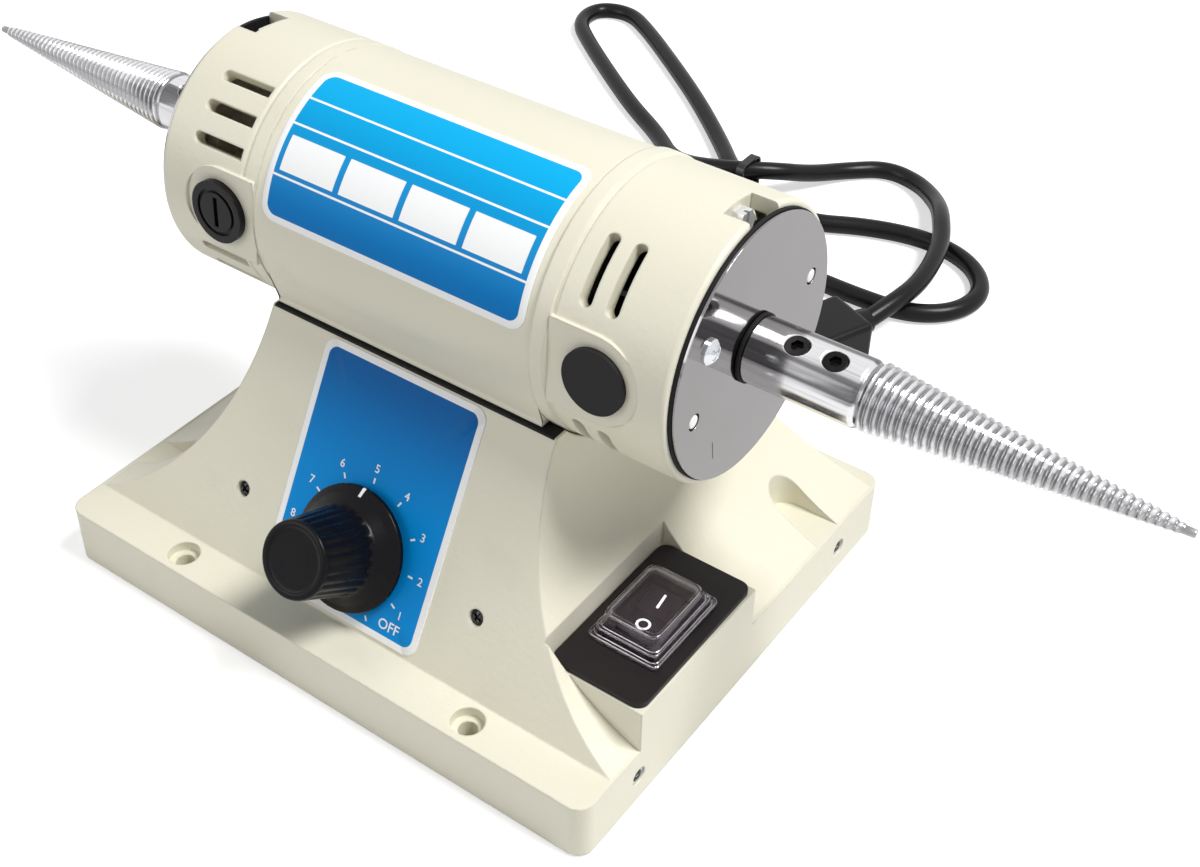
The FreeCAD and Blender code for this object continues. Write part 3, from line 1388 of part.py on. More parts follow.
cord_route = [
    V(cord_exit_x, base_depth / 2 + relief_length, cord_exit_z),
    V(-30, 121, cord_exit_z), V(-29, 139, 5.8), V(-23, 156, floor_z), V(-9, 171, floor_z),
    V(11, 179, floor_z), V(33, 178.5, floor_z), V(53, 180, floor_z), V(67, 191, floor_z),
    V(70, 208, floor_z), V(58, 223, floor_z), V(37, 228, floor_z), V(14, 222, floor_z),
    V(-7, 210, floor_z), V(-28, 211, tied_z), V(-48, 223, tied_z), V(-65, 241, floor_z),
    V(-92, 265, floor_z), V(-119, 286, floor_z), V(-146, 306, floor_z), V(-163, 316, floor_z),
    V(-178, 310, floor_z), V(-177, 294, floor_z), V(-162, 281, floor_z), V(-137, 262, floor_z),
    V(-112, 244, floor_z), V(-90, 231, floor_z), V(-72, 215, 5.2), V(-48, 210.5, over_tied_z),
    V(-28.5, 223, over_tied_z), V(-21, 238, 6.5), V(-13, 253, floor_z), V(0, 264.5, floor_z),
    V(16, 262, floor_z), V(29, 250, 6.2), V(38, 235, over_z), V(47, 217, over_z),
    V(52, 191.5, over_z), V(50, 173.5, over_z), plug_spot,
]


def route_wire(points):
    """Straight runs joined by tangent arcs; returns the wire, its length and the radii."""
    edges = []
    radii = []
    here = points[0]
    for i in range(1, len(points) - 1):
        before = points[i] - points[i - 1]
        after = points[i + 1] - points[i]
        turn = before.getAngle(after)
        radius = 0.45 * min(before.Length, after.Length) / math.tan(turn / 2)
        cut = 0.45 * min(before.Length, after.Length)
        into = V(before)
        into.normalize()
        away = V(after)
        away.normalize()
        start = points[i] - into * cut
        end = points[i] + away * cut
        bisector = away - into
        bisector.normalize()
        center = points[i] + bisector * math.hypot(radius, cut)
        to_corner = points[i] - center
        to_corner.normalize()
        edges.append(Part.LineSegment(here, start).toShape())
        edges.append(Part.Arc(start, center + to_corner * radius, end).toShape())
        here = end
        radii.append(radius)
    edges.append(Part.LineSegment(here, points[-1]).toShape())
    wire = Part.Wire(edges)
    return wire, wire.Length, radii


def power_cord():
    wire, length, radii = route_wire(cord_route)
    first = cord_route[1] - cord_route[0]
    first.normalize()
    section = Part.Wire([Part.Circle(cord_route[0], first, cord_radius).toShape()])
    tube = wire.makePipeShell([section], True, False)
    expected = math.pi * cord_radius ** 2 * length
    print("cord length %.1f mm, volume %.0f of %.0f" % (length, tube.Volume, expected))
    print("cord radii in diameters:", " ".join("%.1f" % (r / (2 * cord_radius)) for r in radii))
    return tube


def strain_relief():
    """A ribbed rubber sleeve through the casting's rear wall."""
    wall_in = base_depth / 2 - casting_wall
    wall_out = base_depth / 2
    flange_radius, flange_thickness = relief_flange
    catch_radius, catch_length = relief_catch
    first, pitch, width = relief_groove

    def at(y):
        return V(cord_exit_x, y, cord_exit_z)

    flange = rod(flange_radius, at(wall_out), AXIS_Y, flange_thickness)
    catch = rod(catch_radius, at(wall_in - catch_length), AXIS_Y, catch_length)
    neck = rod(relief_neck, at(wall_in - catch_length), AXIS_Y, catch_length + casting_wall + 1)
    sleeve = Part.makeCone(relief_radius, cord_radius + sleeve_wall, relief_length, at(wall_out), AXIS_Y)
    body = join([flange, catch, neck, sleeve])
    x0 = cord_exit_x - 2 * relief_radius
    x1 = cord_exit_x + 2 * relief_radius
    grooves = []
    for i in range(relief_grooves):
        y = wall_out + first + pitch * i
        for side in (-1, 1):
            z0, z1 = sorted((cord_exit_z + side * relief_core_half, cord_exit_z + side * 2 * relief_radius))
            grooves.append(box(x0, x1, y, y + width, z0, z1))
    core = rod(cord_radius + sleeve_wall - slip, at(wall_in), AXIS_Y, casting_wall + relief_length)
    return body.cut(group(grooves)).fuse(core).removeSplitter()


def plug_frame():
    """The plug's own frame: +Y from the pins back to the lead's entry."""
    return FreeCAD.Placement(plug_spot, FreeCAD.Rotation(AXIS_Z, plug_heading + 90))


def plug_body():
    size_x, size_y, size_z = plug_body_size
    boot_radius, boot_length = plug_boot
    low = -plug_spot.z
    body = box(-size_x / 2, size_x / 2, -boot_length - size_y, -boot_length, low, low + size_z)
    body = body.makeFillet(plug_round, body.Edges)
    boot = Part.makeCone(boot_radius, cord_radius + sleeve_wall, boot_length + 2, V(0, -boot_length - 2, 0),
                         AXIS_Y)
    return placed(body.fuse(boot).removeSplitter(), plug_frame())


def plug_pins():
    thickness, length, height = pin_size
    front = -plug_boot[1] - plug_body_size[1]
    pins = []
    for x in (-pin_spacing / 2, pin_spacing / 2):
        pin = box(x - thickness / 2, x + thickness / 2, front - length, front, -height / 2, height / 2)
        pins.append(placed(pin, plug_frame()))
    return group(pins)


def cord_tie():
    """A plastic tie round the two strands where they cross; drawn upright about its spot."""
    low = tie_lift
    high = over_tied_z + cord_radius + tie_thickness + slip
    width = 2 * (cord_radius + tie_slack + tie_thickness)
    wall = 2 * tie_thickness
    half = tie_width / 2
    middle = (0, (low + high) / 2)
    outer = rounded_plate(width, high - low, tie_corner, -half, half, middle)
    inner = rounded_plate(width - wall, high - low - wall, tie_corner - tie_thickness, -half - 1, half + 1,
                          middle)
    head_x, head_y, head_z = tie_head
    tail_x, tail_y, tail_z = tie_tail
    side = -width / 2 + tie_thickness / 2
    head = box(side - head_x, side, tie_head_z, tie_head_z + head_y, -head_z / 2, head_z / 2)
    tail_end = side - head_x / 2 - tail_x
    tail_foot = tie_head_z + (head_y - tail_y) / 2
    tail = box(tail_end, side - head_x / 2, tail_foot, tail_foot + tail_y, -tail_z / 2, tail_z / 2)
    stand = FreeCAD.Placement(V(*tie_place, 0), FreeCAD.Rotation(V(1, 1, 1), 120))
    return placed(join([outer.cut(inner), head, tail]), stand)


# ---------------------------------------------------------------- write the nodes
def on_motor(shape):
    return placed(shape, motor_place)


def on_turned_motor(shape):
    return placed(shape, turn_place)


def on_face(shape):
    return placed(shape, face_place)


lead = power_cord()
right_plate = end_plate()
right_gasket = end_gasket()
right_plate_screws = plate_screws()
right_spindle = spindle()
right_set_screws = set_screws()

nodes = {
    "base_casting": base_casting(),
    "bottom_cover": bottom_cover(),
    "side_screws": side_screws(),
    "rubber_feet": rubber_feet(),
    "foot_screws": foot_screws(),
    "panel_label": on_face(panel_label()),
    "face_screws": on_face(group([face_screw(-1, 0), face_screw(1, 0)])),
    "control_bracket": on_face(control_bracket()),
    "potentiometer_body": on_face(potentiometer_body()),
    "potentiometer_nut": on_face(potentiometer_nut()),
    "speed_board": speed_board(),
    "board_standoffs": board_standoffs(),
    "board_components": board_components(),
    "heat_sink": heat_sink(),
    "switch_plate": switch_plate(),
    "switch_body": switch_body(),
    "switch_terminals": switch_terminals(),
    "switch_cap": switch_cap(),
    "cradle_pad": on_motor(cradle_pad()),
    "saddle_screws": saddle_screws(),
    "saddle_nuts": saddle_nuts(),
    "motor_shell": on_motor(motor_shell()),
    "motor_label": on_motor(motor_label()),
    "left_housing": on_turned_motor(left_housing()),
    "right_housing": on_turned_motor(right_housing()),
    "left_gasket": on_turned_motor(mirror_x(right_gasket)),
    "right_gasket": on_turned_motor(right_gasket),
    "left_end_plate": on_turned_motor(mirror_x(right_plate)),
    "right_end_plate": on_turned_motor(right_plate),
    "plate_screws": on_turned_motor(group(right_plate_screws + [mirror_x(s) for s in right_plate_screws])),
    "tie_bolts": on_turned_motor(tie_bolts()),
    "tie_nuts": on_turned_motor(tie_nuts()),
    "stator_core": on_turned_motor(stator_core()),
    "field_coils": on_turned_motor(field_coils()),
    "brush_holders": on_turned_motor(brush_holders()),
    "carbon_brushes": on_turned_motor(carbon_brushes()),
    "brush_springs": on_turned_motor(brush_springs()),
    "brush_caps": on_turned_motor(brush_caps()),
    "blank_plugs": on_turned_motor(blank_plugs()),
    "bearing_outer_rings": on_motor(bearing_rings(True)),
    "bearing_balls": on_motor(bearing_balls()),
    "strain_relief": strain_relief(),
    "power_cord": lead,
    "plug_body": plug_body().cut(lead),
    "plug_pins": plug_pins(),
    "cord_tie": cord_tie(),
    "rotor_shaft": on_motor(rotor_shaft()),
    "armature_core": on_motor(armature_core()),
    "armature_windings": on_motor(armature_windings()),
    "commutator": on_motor(commutator()),
    "cooling_fan": on_motor(cooling_fan()),
    "bearing_inner_rings": on_motor(bearing_rings(False)),
    "shaft_washers": on_motor(shaft_washers()),
    "left_spindle": on_motor(mirror_x(right_spindle)),
    "right_spindle": on_motor(right_spindle),
    "spindle_set_screws": on_motor(group(right_set_screws + [mirror_x(s) for s in right_set_screws])),
    "speed_knob": on_face(speed_knob()),
    "potentiometer_shaft": on_face(potentiometer_shaft()),
    "knob_set_screw": on_face(knob_set_screw()),
    "switch_rocker": switch_rocker(),
}

os.makedirs("parts", exist_ok=True)
for name, shape in nodes.items():
    if not shape.isValid() or not shape.Solids:
        print("check", name, "valid", shape.isValid(), "solids", len(shape.Solids))
    Part.makeCompound(shape.Solids).exportStep("parts/" + name + ".step")
print(len(nodes), "nodes")
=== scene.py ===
import math

import bmesh
import bpy
import numpy as np
from mathutils import Matrix, Vector


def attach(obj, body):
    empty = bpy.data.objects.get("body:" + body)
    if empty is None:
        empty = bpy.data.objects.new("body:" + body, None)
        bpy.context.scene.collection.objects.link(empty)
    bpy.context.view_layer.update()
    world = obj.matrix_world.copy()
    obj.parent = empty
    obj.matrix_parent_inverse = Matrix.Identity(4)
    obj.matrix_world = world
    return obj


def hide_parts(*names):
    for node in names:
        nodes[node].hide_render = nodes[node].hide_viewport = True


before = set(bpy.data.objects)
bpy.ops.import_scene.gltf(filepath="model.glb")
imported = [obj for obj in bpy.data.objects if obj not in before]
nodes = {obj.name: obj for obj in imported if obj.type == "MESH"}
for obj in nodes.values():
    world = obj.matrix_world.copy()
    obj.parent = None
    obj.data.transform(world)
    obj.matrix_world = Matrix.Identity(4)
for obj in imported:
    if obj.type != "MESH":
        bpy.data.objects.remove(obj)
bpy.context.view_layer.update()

# ---------------------------------------------------------------- the view
# The lathe is seen from the user's right and a little above, as it stands on the bench, through
# an ordinary lens with the horizon almost level.


def stance(right, upward, out, spot):
    """The matrix that lays x along right, y along upward and z along out, and the origin on the spot."""
    return Matrix([*zip(right, upward, out, spot), (0.0, 0.0, 0.0, 1.0)])


view_right = (0.81090972, 0.58509466, 0.00946894)
view_up = (-0.36972122, 0.49973698, 0.78330656)
view_back = (0.45357651, -0.63869177, 0.62156349)
view_spot = (0.24795, -0.29361, 0.36989)
view = bpy.data.cameras.new("view")
view.sensor_width = 36.0
view.lens = 51.309
view.shift_x = 0.010175
view.shift_y = -0.049633
view.clip_start = 0.01
view.clip_end = 30.0
camera = bpy.data.objects.new("view", view)
camera.matrix_world = stance(view_right, view_up, view_back, view_spot)
bpy.context.scene.collection.objects.link(camera)
bpy.context.scene.camera = camera

# ---------------------------------------------------------------- lead
# A round two-core mains lead, 7 mm over its black PVC sheath. It leaves the back of the base,
# lies on the bench in three loose loops held by one tie, and ends in a two-pin plug.
lead_radius = 0.0035
lead_exit = (-0.030, 0.108, 0.0096)
lead_route = np.array([
    lead_exit, (-0.030, 0.121, 0.0096), (-0.029, 0.139, 0.0058), (-0.023, 0.156, 0.0035),
    (-0.009, 0.171, 0.0035), (0.011, 0.179, 0.0035), (0.033, 0.1785, 0.0035), (0.053, 0.180, 0.0035),
    (0.067, 0.191, 0.0035), (0.070, 0.208, 0.0035), (0.058, 0.223, 0.0035), (0.037, 0.228, 0.0035),
    (0.014, 0.222, 0.0035), (-0.007, 0.210, 0.0035), (-0.028, 0.211, 0.0050), (-0.048, 0.223, 0.0050),
    (-0.065, 0.241, 0.0035), (-0.092, 0.265, 0.0035), (-0.119, 0.286, 0.0035), (-0.146, 0.306, 0.0035),
    (-0.163, 0.316, 0.0035), (-0.178, 0.310, 0.0035), (-0.177, 0.294, 0.0035), (-0.162, 0.281, 0.0035),
    (-0.137, 0.262, 0.0035), (-0.112, 0.244, 0.0035), (-0.090, 0.231, 0.0035), (-0.072, 0.215, 0.0052),
    (-0.048, 0.2105, 0.0125), (-0.0285, 0.223, 0.0125), (-0.021, 0.238, 0.0065), (-0.013, 0.253, 0.0035),
    (0.000, 0.2645, 0.0035), (0.016, 0.262, 0.0035), (0.029, 0.250, 0.0062), (0.038, 0.235, 0.0110),
    (0.047, 0.217, 0.0110), (0.052, 0.1915, 0.0110), (0.050, 0.1735, 0.0110), (0.0455, 0.1625, 0.0078),
])


def ink(red, green, blue):
    """A colour written as it shows on a screen, 0 to 255, turned into the light it stands for."""
    share = np.array([red, green, blue]) / 255.0
    light = np.where(share <= 0.04045, share / 12.92, ((share + 0.055) / 1.055) ** 2.4)
    return (*light.tolist(), 1.0)


class Socket:
    """One value in a finish. Arithmetic on it adds Math nodes, so 1 - mask * 0.4 reads as it is meant."""

    def __init__(self, finish, socket):
        self.finish = finish
        self.socket = socket

    def __add__(self, other):
        return self.finish.maths("ADD", self, other)

    def __sub__(self, other):
        return self.finish.maths("SUBTRACT", self, other)

    def __rsub__(self, other):
        return self.finish.maths("SUBTRACT", other, self)

    def __mul__(self, other):
        return self.finish.maths("MULTIPLY", self, other)

    def __truediv__(self, other):
        return self.finish.maths("DIVIDE", self, other)

    def __neg__(self):
        return self.finish.maths("MULTIPLY", self, -1.0)

    def __abs__(self):
        return self.finish.maths("ABSOLUTE", self)

    __radd__ = __add__
    __rmul__ = __mul__


class Finish:
    """A surface finish built on one Principled shader, whose plain values are set on its own sockets."""

    def __init__(self, name, **values):
        self.material = bpy.data.materials.new(name)
        self.material.use_nodes = True
        self.tree = self.material.node_tree
        self.shader = self.tree.nodes["Principled BSDF"]
        for socket, value in values.items():
            self.shader.inputs[socket.replace("_", " ")].default_value = value

    def node(self, kind, settings, sockets, output=0):
        """Any other node: its settings first, then a value or a link for each named socket."""
        made = self.tree.nodes.new(kind)
        for name, value in settings.items():
            setattr(made, name, value)
        for name, value in sockets.items():
            if isinstance(value, Socket):
                self.tree.links.new(value.socket, made.inputs[name])
            else:
                made.inputs[name].default_value = value
        return Socket(self, made.outputs[output])

    def maths(self, operation, *values):
        """Arithmetic on one or two values."""
        return self.node("ShaderNodeMath", {"operation": operation}, dict(enumerate(values)))

    def feed(self, name, value):
        """Links a value to a socket of the shader."""
        self.tree.links.new(value.socket, self.shader.inputs[name])

    def place(self, scale=(1.0, 1.0, 1.0), spot=(0.0, 0.0, 0.0), turn=(0.0, 0.0, 0.0)):
        """The point on the object, seen from a spot and turn of its own, then stretched by scale."""
        point = self.node("ShaderNodeTexCoord", {}, {}, "Object")
        seen = self.node("ShaderNodeMapping", {"vector_type": "TEXTURE"},
                         {"Vector": point, "Location": spot, "Rotation": turn})
        return self.node("ShaderNodeMapping", {}, {"Vector": seen, "Scale": scale})

    def part(self, vector, axis):
        """One coordinate of a vector."""
        return self.node("ShaderNodeSeparateXYZ", {}, {"Vector": vector}, "XYZ".index(axis))

    def noise(self, where, scale, detail=3.0):
        """Soft clouds from 0 to 1, scale of them in a metre."""
        return self.node("ShaderNodeTexNoise", {}, {"Vector": where, "Scale": scale, "Detail": detail})

    def step(self, value, low, high):
        """0 below low, 1 above high, and a smooth rise between."""
        return self.node("ShaderNodeMapRange", {"interpolation_type": "SMOOTHSTEP"},
                         {"Value": value, "From Min": low, "From Max": high})

    def tint(self, mask, low, high):
        return self.node("ShaderNodeMix", {"data_type": "RGBA"}, {0: mask, 6: low, 7: high}, 2)

    def edges(self, width):
        """1 on edges rounder than the width, 0 on flat places, from how far the rounded normal leans."""
        round_normal = self.node("ShaderNodeBevel", {"samples": 4}, {"Radius": width})
        flat = self.node("ShaderNodeNewGeometry", {}, {}, "Normal")
        same = self.node("ShaderNodeVectorMath", {"operation": "DOT_PRODUCT"}, {0: round_normal, 1: flat}, 1)
        return self.step(1.0 - same, 0.01, 0.12)

    def relief(self, height, depth, width=0.0):
        """Bumps of a depth in metres. A width above 0 also rounds the edges to it."""
        sockets = {"Height": height, "Distance": depth, "Strength": 1.0}
        if width:
            sockets["Normal"] = self.node("ShaderNodeBevel", {"samples": 4}, {"Radius": width})
        self.feed("Normal", self.node("ShaderNodeBump", {}, sockets))


def moulded(name, dark, light, roughness, grain=900.0, depth=0.00002, edge=0.0004, **values):
    """Moulded rubber or plastic: two close shades in soft clouds, fine grain, and polished edges that are
    also painted lighter: partly wear, partly painted highlight.
    """
    made = Finish(name, **values)
    clouds = made.noise(made.place(), 60.0)
    fine = made.noise(made.place(), grain, 2.0)
    edge_wear_and_highlight = made.edges(edge)
    made.feed("Base Color", made.tint(clouds * 0.7 + edge_wear_and_highlight * 0.3, dark, light))
    made.feed("Roughness", roughness + 0.12 * clouds - 0.10 * edge_wear_and_highlight)
    made.relief(fine, depth, edge)
    return made


def skin(name, grids, finish, body, uv=None, sharp=38.0):
    """A piece from one or more arrays of points [row, column, xyz]. Neighbouring points make the faces;
    points that meet at a seam or a pole are merged, and the faces are turned outwards."""
    points = []
    quads = []
    count = 0
    for grid in grids:
        rows, columns = grid.shape[:2]
        index = np.arange(rows * columns).reshape(rows, columns) + count
        corners = (index[:-1, :-1], index[:-1, 1:], index[1:, 1:], index[1:, :-1])
        quads.append(np.stack(corners, -1).reshape(-1, 4))
        points.append(grid.reshape(-1, 3))
        count += rows * columns
    points = np.concatenate(points)
    quads = np.concatenate(quads)
    mesh = bpy.data.meshes.new(name)
    mesh.from_pydata(points, [], quads)
    if uv is not None:
        layer = mesh.uv_layers.new(name="face")
        layer.data.foreach_set("uv", uv.reshape(-1, 2)[quads.ravel()].ravel())
    shell = bmesh.new()
    shell.from_mesh(mesh)
    bmesh.ops.remove_doubles(shell, verts=shell.verts, dist=1e-6)
    bmesh.ops.recalc_face_normals(shell, faces=shell.faces)
    shell.to_mesh(mesh)
    shell.free()
    mesh.shade_smooth()
    mesh.set_sharp_from_angle(angle=math.radians(sharp))
    mesh.materials.append(finish.material)
    piece = bpy.data.objects.new(name, mesh)
    bpy.context.scene.collection.objects.link(piece)
    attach(piece, body)
    return piece


def eased(corners, radius, steps=4):
    """A line of corners with each inner one rounded: a curve from radius before it to radius after."""
    corners = np.array(corners, float)
    t = np.linspace(0, 1, steps + 1)[:, None]
    line = [corners[:1]]
    for before, corner, after in zip(corners[:-2], corners[1:-1], corners[2:]):
        back = before - corner
        on = after - corner
        start = corner + back * min(radius / np.linalg.norm(back), 0.48)
        end = corner + on * min(radius / np.linalg.norm(on), 0.48)
        line.append((1 - t) ** 2 * start + 2 * t * (1 - t) * corner + t ** 2 * end)
    line.append(corners[-1:])
    return np.concatenate(line)


def turned(profile, centre, along, across, steps=72):
    """A profile of (distance, radius) carried once round an axis: centre + along * distance
    + (across * cos t + third * sin t) * radius, for t from 0 to a full turn."""
    profile = np.asarray(profile, float)
    along = np.array(along, float)
    across = np.array(across, float)
    third = np.cross(along, across)
    t = np.linspace(0, 2 * np.pi, steps + 1)[:, None]
    turn = np.cos(t) * across + np.sin(t) * third
    return np.array(centre) + profile[:, None, :1] * along + profile[:, None, 1:] * turn[None]


def finish_nodes(finish, *names):
    """Gives solids of the part this finish in place of their plain one."""
    for name in names:
        nodes[name].data.materials.clear()
        nodes[name].data.materials.append(finish.material)


lead_curve = bpy.data.curves.new("lead", "CURVE")
lead_curve.dimensions = "3D"
line = lead_curve.splines.new("NURBS")
line.points.add(len(lead_route) - 1)
line.points.foreach_set("co", np.hstack([lead_route, np.ones((len(lead_route), 1))]).ravel())
line.order_u = 3
line.use_endpoint_u = True
line.resolution_u = 10
lead_curve.bevel_depth = lead_radius
lead_curve.bevel_resolution = 6
lead_curve.use_fill_caps = True
sheath = moulded("lead_sheath", ink(9, 9, 10), ink(20, 20, 21), 0.24, grain=700.0, depth=0.000012,
                 edge=0.0003, Specular_IOR_Level=0.22)
lead_curve.materials.append(sheath.material)
lead = bpy.data.objects.new("lead", lead_curve)
bpy.context.scene.collection.objects.link(lead)
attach(lead, "lathe")
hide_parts("power_cord")

# The tie is a nylon strap with a ratchet head, and the plug is moulded on the lead's end, with
# two flat nickelled pins.
nylon = moulded("tie_nylon", ink(10, 10, 11), ink(24, 24, 25), 0.20, grain=500.0, Specular_IOR_Level=0.5)
finish_nodes(nylon, "cord_tie")
finish_nodes(sheath, "plug_body")

# ---------------------------------------------------------------- strain relief
# A black rubber sleeve pressed through the back wall: a flange against the casting, then a taper
# with six soft ribs that lets the lead bend gently.
relief_y = 0.078
relief_length = 0.030
relief_thick = 0.0056
relief_thin = 0.0045
relief_neck = 0.0049
flange_radius = 0.0072
rib_start = 0.0022
rib_pitch = 0.0046
rib_depth = 0.0008
lip_length = 0.0008
y = np.linspace(rib_start, relief_length - lip_length, 90)
ribs = 0.5 - 0.5 * np.cos(2 * np.pi * (y - rib_start) / rib_pitch)
taper = relief_thick + (relief_thin - relief_thick) * y / relief_length
sleeve = np.stack([y, taper - rib_depth * (1 - ribs ** 0.6)], -1)
relief_profile = np.concatenate([
    [(-0.0065, 0.0), (-0.0065, 0.0056), (-0.0045, 0.0060), (-0.0041, relief_neck), (0.0, relief_neck)],
    eased([(0.0, relief_neck), (0.0, flange_radius), (0.0020, flange_radius), (0.0021, 0.0050)], 0.0006),
    sleeve, [(relief_length, 0.0043), (relief_length, 0.0036), (relief_length - 0.003, 0.0)],
])
relief_spot = (lead_exit[0], relief_y, lead_exit[2])
sleeve_rubber = moulded("sleeve_rubber", ink(12, 12, 13), ink(26, 26, 27), 0.36, Specular_IOR_Level=0.3)
relief = skin("strain_sleeve", [turned(relief_profile, relief_spot, (0, 1, 0), (1, 0, 0))], sleeve_rubber,
              "lathe")
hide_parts("strain_relief")

# ---------------------------------------------------------------- base and motor castings
# The base and both end housings are sand and die castings, filled and sprayed in cream enamel
# over primer. The shell between the housings is rolled steel in the same paint.
cream = Finish("cream_enamel", IOR=1.5, Coat_Roughness=0.25)
cream_place = cream.place()
cream_clouds = cream.noise(cream_place, 14.0, 4.0)
cream_peel = cream.noise(cream_place, 520.0, 3.0)
cream_dirt = cream.step(cream.noise(cream_place, 38.0, 6.0), 0.60, 0.78)
# The enamel's edges are painted lighter: partly wear, partly painted highlight.
cream_edge_wear_and_highlight = cream.edges(0.0009)
cream_shade = cream.tint(cream_clouds, ink(219, 215, 195), ink(229, 226, 207))
cream_shade = cream.tint(cream_dirt * 0.25, cream_shade, ink(203, 198, 174))
cream.feed("Base Color", cream.tint(cream_edge_wear_and_highlight * 0.6, cream_shade, ink(238, 235, 220)))
cream.feed("Roughness", 0.38 + 0.14 * cream_clouds - 0.08 * cream_edge_wear_and_highlight)
cream.feed("Coat Weight", 0.12 + 0.10 * cream_clouds)
cream.relief(cream_peel + 1.5 * cream_clouds, depth=0.00009, width=0.0009)
finish_nodes(cream, "base_casting", "left_housing", "right_housing", "motor_shell")

# ---------------------------------------------------------------- feet, cover and fixings
# Four moulded rubber feet, each held by a cross-headed screw; the zinc-plated steel cover tray
# closes the base and takes the countersunk side screws.
foot_rubber = moulded("foot_rubber", ink(14, 14, 15), ink(32, 32, 33), 0.60, Specular_IOR_Level=0.2)
# The black cradle pad supports the motor and also stands in for the shade in the gap under it: partly rubber,
# partly painted shade.
finish_nodes(foot_rubber, "rubber_feet", "cradle_pad", "left_gasket", "right_gasket")


def metal(name, dark, light, roughness, stretch=(1.0, 1.0, 1.0), grain=300.0, depth=0.00001, edge=0.0003,
          **values):
    """Bare or plated metal: streaks of two shades stretched along the tool's path, and edges painted
    brighter: partly wear, partly painted highlight.
    """
    made = Finish(name, Metallic=1.0, **values)
    streaks = made.noise(made.place(stretch), grain, 4.0)
    clouds = made.noise(made.place(), 45.0)
    edge_polish_and_highlight = made.edges(edge)
    made.feed("Base Color", made.tint(streaks * 0.7 + edge_polish_and_highlight * 0.3, dark, light))
    made.feed("Roughness", roughness + 0.14 * clouds + 0.06 * streaks - 0.05 * edge_polish_and_highlight)
    made.relief(streaks, depth, edge)
    return made


zinc = metal("zinc_plate", ink(168, 170, 172), ink(228, 229, 228), 0.20)
blackened = metal("blackened_steel", ink(26, 25, 26), ink(52, 50, 50), 0.26)
cover_zinc = metal("cover_sheet", ink(150, 152, 154), ink(196, 198, 199), 0.34, stretch=(0.08, 1.0, 1.0),
                   grain=160.0)
nickel = metal("pin_nickel", ink(186, 184, 176), ink(232, 230, 224), 0.18)
finish_nodes(zinc, "foot_screws", "side_screws", "saddle_screws", "saddle_nuts", "potentiometer_nut")
tie_zinc = moulded("tie_zinc", ink(206, 207, 206), ink(240, 241, 240), 0.22, grain=700.0, depth=0.000008,
                   edge=0.0003, Metallic=0.45)
finish_nodes(tie_zinc, "tie_bolts", "tie_nuts")
finish_nodes(blackened, "spindle_set_screws", "knob_set_screw")
finish_nodes(cover_zinc, "bottom_cover", "control_bracket")
finish_nodes(nickel, "plug_pins")


def cross_head(centre, along, across, radius, foot, rim, crown, turned_by=0.0):
    """A domed screw head with a cross recess. From the crown the height falls with the square of the
    distance r from the middle to the rim, then goes straight down to the foot. In the recess, where the
    lesser of the two distances across the arms is under a sixth of the radius, the head lies lower."""
    half_arm = 0.16 * radius
    reach = 0.62 * radius
    recess = 0.42 * radius
    r = np.linspace(0, radius, 34)[:, None]
    t = np.linspace(0, 2 * np.pi, 121)[None]
    a = np.abs(r * np.cos(t + turned_by))
    b = np.abs(r * np.sin(t + turned_by))
    arm = np.clip((half_arm - np.minimum(a, b)) / (0.05 * radius), 0, 1)
    arm = arm * np.clip((reach - np.maximum(a, b)) / (0.10 * radius), 0, 1)
    high = rim + (crown - rim) * (1 - (r / radius) ** 2) - recess * arm
    r, t = np.broadcast_arrays(r, t)
    edge = np.full((1, t.shape[1]), radius)
    r = np.concatenate([r, edge, 0 * edge])
    t = np.concatenate([t, t[:2]])
    high = np.concatenate([high, edge * 0 + foot, edge * 0 + foot])[..., None]
    third = np.cross(along, across)
    spoke = np.cos(t)[..., None] * np.array(across) + np.sin(t)[..., None] * third
    return np.array(centre) + high * np.array(along) + r[..., None] * spoke


side_screw_spot = np.array([0.095, 0.053, 0.010])
side_heads = []
for sx in (-1, 1):
    for sy in (-1, 1):
        spot = side_screw_spot * (sx, sy, 1)
        side_heads.append(cross_head(spot, (sx, 0.0, 0.0), (0.0, 1.0, 0.0), radius=0.0018, foot=-0.0006,
                                     rim=-0.0005, crown=-0.0003, turned_by=0.4))
skin("side_screw_heads", side_heads, blackened, "lathe")

# ---------------------------------------------------------------- shell foot and black strip, partly painted shade
# The rolled steel shell runs straight down at the front into a foot with a turned-out hem, which stands over
# the saddle's edge. A thin black rubber strip is glued on the casting under it, and its black also stands in
# for the shade in the crevice there: partly rubber, partly painted shade.
motor_y = 0.0062
motor_z = 0.1107
shell_radius = 0.0379


def bar(section, start, end):
    """A closed outline of (y, z) points carried along x from start to end, and drawn in to its own
    middle at both ends."""
    section = np.vstack([section, section[:1]])
    middle = section[:-1].mean(0)
    share = np.array([0, 1, 1, 0])[:, None, None]
    outline = middle + share * (section - middle)
    x = np.array([start, start, end, end])[:, None, None]
    return np.concatenate([np.broadcast_to(x, (*outline.shape[:2], 1)), outline], -1)


foot_turn = math.radians(17.0)
foot_radius = shell_radius - 0.0001
foot_top = (motor_y - foot_radius * math.cos(foot_turn), motor_z - foot_radius * math.sin(foot_turn))
foot_low = 0.0858
foot_section = eased([foot_top, (-0.0260, 0.0870), (-0.0267, 0.0864), (-0.0267, foot_low),
                      (-0.0226, foot_low)], 0.0003)
skin("shell_foot", [bar(foot_section, -0.0486, 0.0441)], cream, "lathe")
saddle_top = 0.0853
strip_back = -0.0236
strip_half = 0.0490
strip_top = saddle_top + 0.0002
strip_section = eased([(strip_back, saddle_top), (-0.0276, saddle_top), (-0.0280, 0.0849), (-0.0282, 0.0850),
                       (-0.0277, strip_top), (strip_back, strip_top)], 0.00006)
skin("cradle_strip_and_painted_shade", [bar(strip_section, -strip_half, strip_half)], foot_rubber, "lathe")

